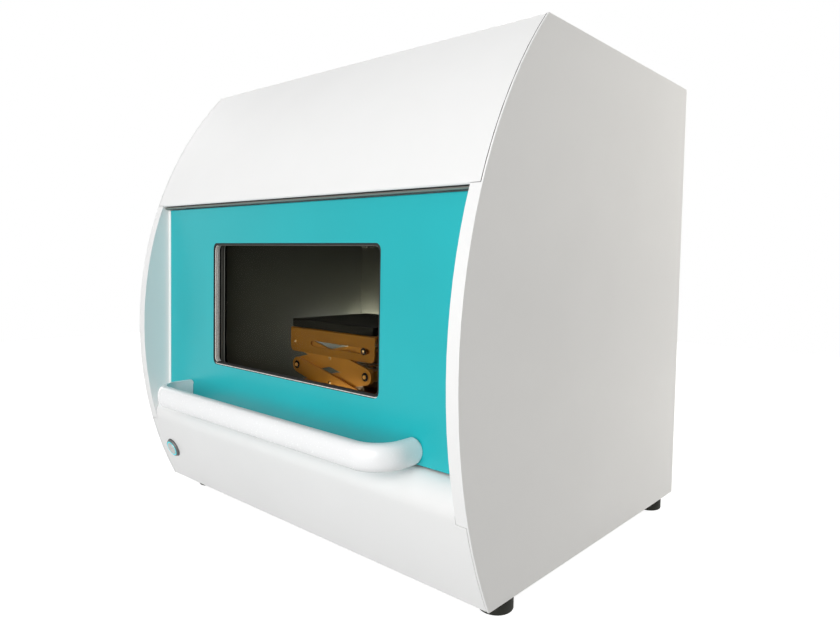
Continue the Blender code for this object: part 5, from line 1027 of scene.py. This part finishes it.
class SPECTROMETER_OT_jack(bpy.types.Operator):
    """Build the trays, the arms, the bars, the screw and the plate of the scissor jack"""
    bl_idname = "spectrometer.jack"
    bl_label = "Scissor jack"

    def execute(self, context):
        # The trays take a darker copy of the arms' bronze, which paints their shade.
        for node in ("jack_base", "jack_top"):
            dress(node, "bronze_tray", "bronze_anodised", FINE_EDGE, 2)
        for node in ("jack_arm_lower_a", "jack_arm_lower_b", "jack_arm_upper_a",
                     "jack_arm_upper_b", "jack_screw_bar", "jack_nut_bar"):
            dress(node, "bronze_sheet", "bronze_anodised", FINE_EDGE, 2)
        dress("jack_stage_plate", "stage_black", "black_anodised", 0.0006)
        dress("jack_spindle", "bright_steel", "silver", FINE_EDGE, 2)
        dress("jack_knob", "black_moulding", "black_plastic", 0.0008)
        self.add_fasteners()
        return {"FINISHED"}

    def add_fasteners(self):
        """Sets rivets, pins and pivot screws on both long faces of the jack."""
        sizes = settings().fasteners
        outer = [corner.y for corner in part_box("jack_arm_lower_a")]
        bars = [corner.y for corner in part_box("jack_screw_bar")]
        arms = [bars[0] + BAR_PROUD, bars[1] - BAR_PROUD]
        spots = (
            ("jack_lower_arm_a", outer, -PIVOT_X, PIVOT_LOW, "rivet"),
            ("jack_lower_arm_a", arms, 0.0, (PIVOT_LOW + PIVOT_MID) / 2, "rivet"),
            ("jack_upper_arm_a", outer, -PIVOT_X, PIVOT_HIGH, "rivet"),
            ("jack_upper_arm_b", arms, 0.0, (PIVOT_MID + PIVOT_HIGH) / 2, "rivet"),
            ("jack_lower_arm_b", outer, PIVOT_X, PIVOT_LOW, "pin"),
            ("jack_upper_arm_b", outer, PIVOT_X, PIVOT_HIGH, "pin"),
            ("jack_nut_carrier", bars, -PIVOT_X, PIVOT_MID, "screw"),
            ("jack_screw_carrier", bars, PIVOT_X, PIVOT_MID, "screw"))
        for body, levels, x, z, kind in spots:
            for word, level, along in (("front", levels[0] - STAND_OFF, OUTWARD),
                                       ("rear", levels[1] + STAND_OFF, BACKWARD)):
                name = "_".join((body, kind, word, "low" if z < PIVOT_MID else "high"))
                place = Vector((x, level, z))
                # Black washers under the pins and screws: real washers that also paint the dark
                # recess round each pivot.
                if kind != "rivet":
                    outside = sizes.pivot_ring * (1.0 if kind == "screw" else PIN_SHARE)
                    ring = washer(sizes.pivot_screw * HOLE_SHARE, outside, WASHER_THICK)
                    piece(name + "_washer", placed(ring, place, along), "pivot_black",
                          body)
                    place += Vector(along) * WASHER_LIFT
                if kind == "screw":
                    head = socket_head(sizes.pivot_screw, SCREW_HEIGHT,
                                       sizes.pivot_screw * SOCKET_SHARE)
                    look = "pivot_bronze"
                else:
                    head = dome(sizes.rivet, sizes.low_head if levels is arms else sizes.high_head)
                    look = "rivet_bright"
                piece(name, placed(head, place, along), look, body)


class SPECTROMETER_OT_head(bpy.types.Operator):
    """Build the measuring head above the chamber"""
    bl_idname = "spectrometer.head"
    bl_label = "Measuring head"

    def execute(self, context):
        dress_small(("head_base_plate", "bright_steel", "silver"),
                    ("nose_cone", "bright_steel", "silver"),
                    ("head_block", "upright_brushed", "silver"),
                    ("xray_tube", "plated_sheet", "zinc_steel"),
                    ("collimator_wheel", "bright_steel", "silver"),
                    ("collimator_motor", "black_moulding", "black_plastic"),
                    ("fluorescence_detector", "copper_fins", "silver"),
                    ("sample_camera", "black_moulding", "black_plastic"))
        return {"FINISHED"}


class SPECTROMETER_OT_electronics(bpy.types.Operator):
    """Build the high voltage supply, the power supply and the control board"""
    bl_idname = "spectrometer.electronics"
    bl_label = "Electronics"

    def execute(self, context):
        dress_small(("hv_generator", "plated_sheet", "silver"),
                    ("power_supply", "bright_steel", "silver"))
        dress("control_board", "circuit_board", "board_green", FINE_EDGE, 1)
        return {"FINISHED"}


class SPECTROMETER_OT_fan(bpy.types.Operator):
    """Give the fan's frame and its rotor their finish"""
    bl_idname = "spectrometer.fan"
    bl_label = "Fan"

    def execute(self, context):
        for node in ("fan_frame", "fan_rotor"):
            coat(node, "black_moulding")
        return {"FINISHED"}


class SPECTROMETER_OT_sockets(bpy.types.Operator):
    """Build the mains inlet with its rocker and the data sockets"""
    bl_idname = "spectrometer.sockets"
    bl_label = "Sockets"

    def execute(self, context):
        for node in ("power_entry", "mains_rocker"):
            dress(node, "black_moulding", "black_plastic", FINE_EDGE, 2)
        dress("data_port", "bright_steel", "silver", 0.0002, 2)
        return {"FINISHED"}


# Studio

def area_lamp(name, place, aim, size, power, tone=(1.0, 1.0, 1.0), spread=pi):
    """A lamp that lights the scene without being seen itself."""
    light = bpy.data.lights.new(name, "AREA")
    light.shape = "RECTANGLE"
    light.size, light.size_y = size
    light.energy, light.color, light.spread = power, tone, spread
    lamp = linked(name, light)
    turn = (Vector(aim) - Vector(place)).to_track_quat("-Z", "Y").to_matrix().to_4x4()
    lamp.matrix_world = Matrix.Translation(place) @ turn
    lamp.visible_camera = False
    return lamp


def seen_rays(graph, level):
    """A value that is 1 to the eye, in gloss and through glass, and `level` elsewhere."""
    path = graph.nodes.new("ShaderNodeLightPath").outputs
    seen = path["Is Camera Ray"]
    for name in ("Is Glossy Ray", "Is Transmission Ray"):
        seen = graph.add("ShaderNodeMath", {0: seen, 1: path[name]}, operation="MAXIMUM")
    return graph.add("ShaderNodeMapRange", {"Value": seen, "To Min": level})


def pale_world(level):
    """White to the eye and in gloss and glass, and a soft level on everything else."""
    world = bpy.data.worlds.new("studio")
    graph = Graph(world)
    sky = graph.nodes["Background"].inputs
    graph.feed(sky["Color"], (1.0, 1.0, 1.0))
    graph.feed(sky["Strength"], seen_rays(graph, level))
    bpy.context.scene.world = world


def floor_finish(glow, matt_level):
    """A pale floor that adds up to white where it is lit and keeps the shadow."""
    made = bpy.data.materials.new("pale_floor")
    graph = Graph(made)
    graph.nodes.remove(graph.nodes["Principled BSDF"])
    grain = graph.add("ShaderNodeTexNoise", {"Vector": graph.place, "Scale": FLOOR_GRAIN})
    tone = graph.add("ShaderNodeMapRange", {
        "Value": grain, "To Min": matt_level - FLOOR_SPREAD, "To Max": matt_level + FLOOR_SPREAD})
    matt = graph.add("ShaderNodeBsdfDiffuse", {"Color": tone})
    reach = graph.add("ShaderNodeVectorMath", {0: graph.place}, 1, operation="LENGTH")
    fade = graph.add("ShaderNodeMapRange", {
        "Value": reach, "From Min": FLOOR_FADE[0], "From Max": FLOOR_FADE[1], "To Min": glow})
    seen = seen_rays(graph, 0.0)
    glowing = graph.add("ShaderNodeEmission", {"Color": fade, "Strength": seen})
    both = graph.add("ShaderNodeAddShader", {0: matt, 1: glowing})
    graph.feed(graph.nodes["Material Output"].inputs["Surface"], both)
    return made


def photo_camera():
    """Sets up the camera that sees the spectrometer as the photograph does."""
    view = settings().camera
    ahead = Vector((sin(view.yaw) * cos(view.pitch), cos(view.yaw) * cos(view.pitch),
                    sin(view.pitch)))
    right = Vector((cos(view.yaw), -sin(view.yaw), 0.0))
    above = right.cross(ahead)
    across = right * cos(view.roll) + above * sin(view.roll)
    upward = above * cos(view.roll) - right * sin(view.roll)
    data = bpy.data.cameras.new("photo_camera")
    data.sensor_width = 36.0
    data.lens = view.lens
    data.shift_x, data.shift_y = view.shift_x, view.shift_y
    camera = linked("photo_camera", data)
    turn = Matrix((across, upward, -ahead)).transposed().to_4x4()
    camera.matrix_world = Matrix.Translation(Vector(view.place)) @ turn
    bpy.context.scene.camera = camera


class SPECTROMETER_OT_studio(bpy.types.Operator):
    """Build the pale floor, the soft light and the camera"""
    bl_idname = "spectrometer.studio"
    bl_label = "Studio"

    def execute(self, context):
        lights = settings().lights
        floor = bmesh.new()
        bmesh.ops.create_grid(floor, x_segments=1, y_segments=1, size=FLOOR_HALF)
        look = floor_finish(lights.floor_glow, lights.floor_matt)
        mesh_object("studio_floor", floor, look)
        pale_world(lights.surround)
        middle = (0.0, 0.0, 0.3)
        for name, place, aim, side, power in (
                ("key_lamp", (0.2, -2.5, 0.8), middle, 1.6, lights.key),
                ("front_lamp", (0.9, -2.3, 0.7), middle, 1.8, lights.front),
                ("top_lamp", (0.2, -0.9, 2.3), (0.0, -0.1, 0.3), 1.4, lights.top),
                ("rear_lamp", (-0.7, 2.0, 1.9), middle, 1.6, lights.rear),
                ("left_lamp", (-2.3, 0.4, 0.9), middle, 1.6, lights.left)):
            area_lamp(name, place, aim, (side, side), power)
        grazing = area_lamp("side_lamp", (1.1, 1.1, 0.68), (0.29, 0.25, 0.42), (0.5, 0.6),
                            lights.side, (1.0, 0.96, 0.88))
        grazing.visible_glossy = False
        self.light_chamber(lights)
        photo_camera()
        bpy.context.scene.view_settings.view_transform = "Standard"
        return {"FINISHED"}

    def light_chamber(self, lights):
        """Sets the lamps in the chamber, which aren't seen through the glass either."""
        low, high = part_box("sample_chamber")
        jack_low, jack_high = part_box("jack_base")
        wall_x, lamp_tone = low.x + 0.030, (1.0, 0.97, 0.90)
        lamps = [
            area_lamp("chamber_light", (0.0, low.y + 0.09, high.z - 0.012),
                      (0.0, low.y + 0.12, low.z), (0.10, 0.02), lights.chamber, lamp_tone),
            area_lamp("jack_light", (0.04, jack_low.y - 0.036, jack_high.z - 0.016),
                      (0.04, jack_low.y, jack_high.z + 0.008), (0.16, 0.02),
                      lights.jack_glow, (1.0, 0.93, 0.80), radians(150)),
            area_lamp("wall_light", (wall_x, high.y - 0.045, low.z + 0.202),
                      (wall_x, high.y, low.z + 0.192), (0.02, 0.02), lights.wall_glow, lamp_tone)]
        corner = bpy.data.lights.new("corner_light", "POINT")
        corner.energy, corner.shadow_soft_size = lights.corner_glow, 0.012
        lamps.append(linked("corner_light", corner))
        lamps[-1].location = (low.x + 0.068, high.y - 0.030, low.z + 0.190)
        for lamp in lamps:
            lamp.visible_camera = lamp.visible_transmission = False


BUILDERS = (
    SPECTROMETER_OT_case_sheets,
    SPECTROMETER_OT_rear_and_base,
    SPECTROMETER_OT_feet,
    SPECTROMETER_OT_lip_strip,
    SPECTROMETER_OT_chamber,
    SPECTROMETER_OT_door,
    SPECTROMETER_OT_hinge,
    SPECTROMETER_OT_handle,
    SPECTROMETER_OT_power_button,
    SPECTROMETER_OT_jack,
    SPECTROMETER_OT_head,
    SPECTROMETER_OT_electronics,
    SPECTROMETER_OT_fan,
    SPECTROMETER_OT_sockets,
    SPECTROMETER_OT_studio,
)


class SPECTROMETER_PT_pieces(bpy.types.Panel):
    """Lists the spectrometer's builders"""
    bl_label = "Spectrometer"
    bl_space_type = "VIEW_3D"
    bl_region_type = "UI"
    bl_category = "Spectrometer"

    def draw(self, context):
        for builder in BUILDERS:
            self.layout.operator(builder.bl_idname)


CLASSES = (
    SPECTROMETER_PG_paints,
    SPECTROMETER_PG_metals,
    SPECTROMETER_PG_edges,
    SPECTROMETER_PG_window,
    SPECTROMETER_PG_handle,
    SPECTROMETER_PG_fasteners,
    SPECTROMETER_PG_camera,
    SPECTROMETER_PG_lights,
    SPECTROMETER_PG_settings,
    *BUILDERS,
    SPECTROMETER_PT_pieces,
)


def register():
    for item in CLASSES:
        bpy.utils.register_class(item)
    bpy.types.Scene.spectrometer = group(SPECTROMETER_PG_settings, "Spectrometer",
                                         "Settings of the spectrometer")


def unregister():
    del bpy.types.Scene.spectrometer
    for item in reversed(CLASSES):
        bpy.utils.unregister_class(item)


def main():
    register()
    for builder in BUILDERS:
        group, call = builder.bl_idname.split(".")
        getattr(getattr(bpy.ops, group), call)()


if __name__ == "__main__":
    main()
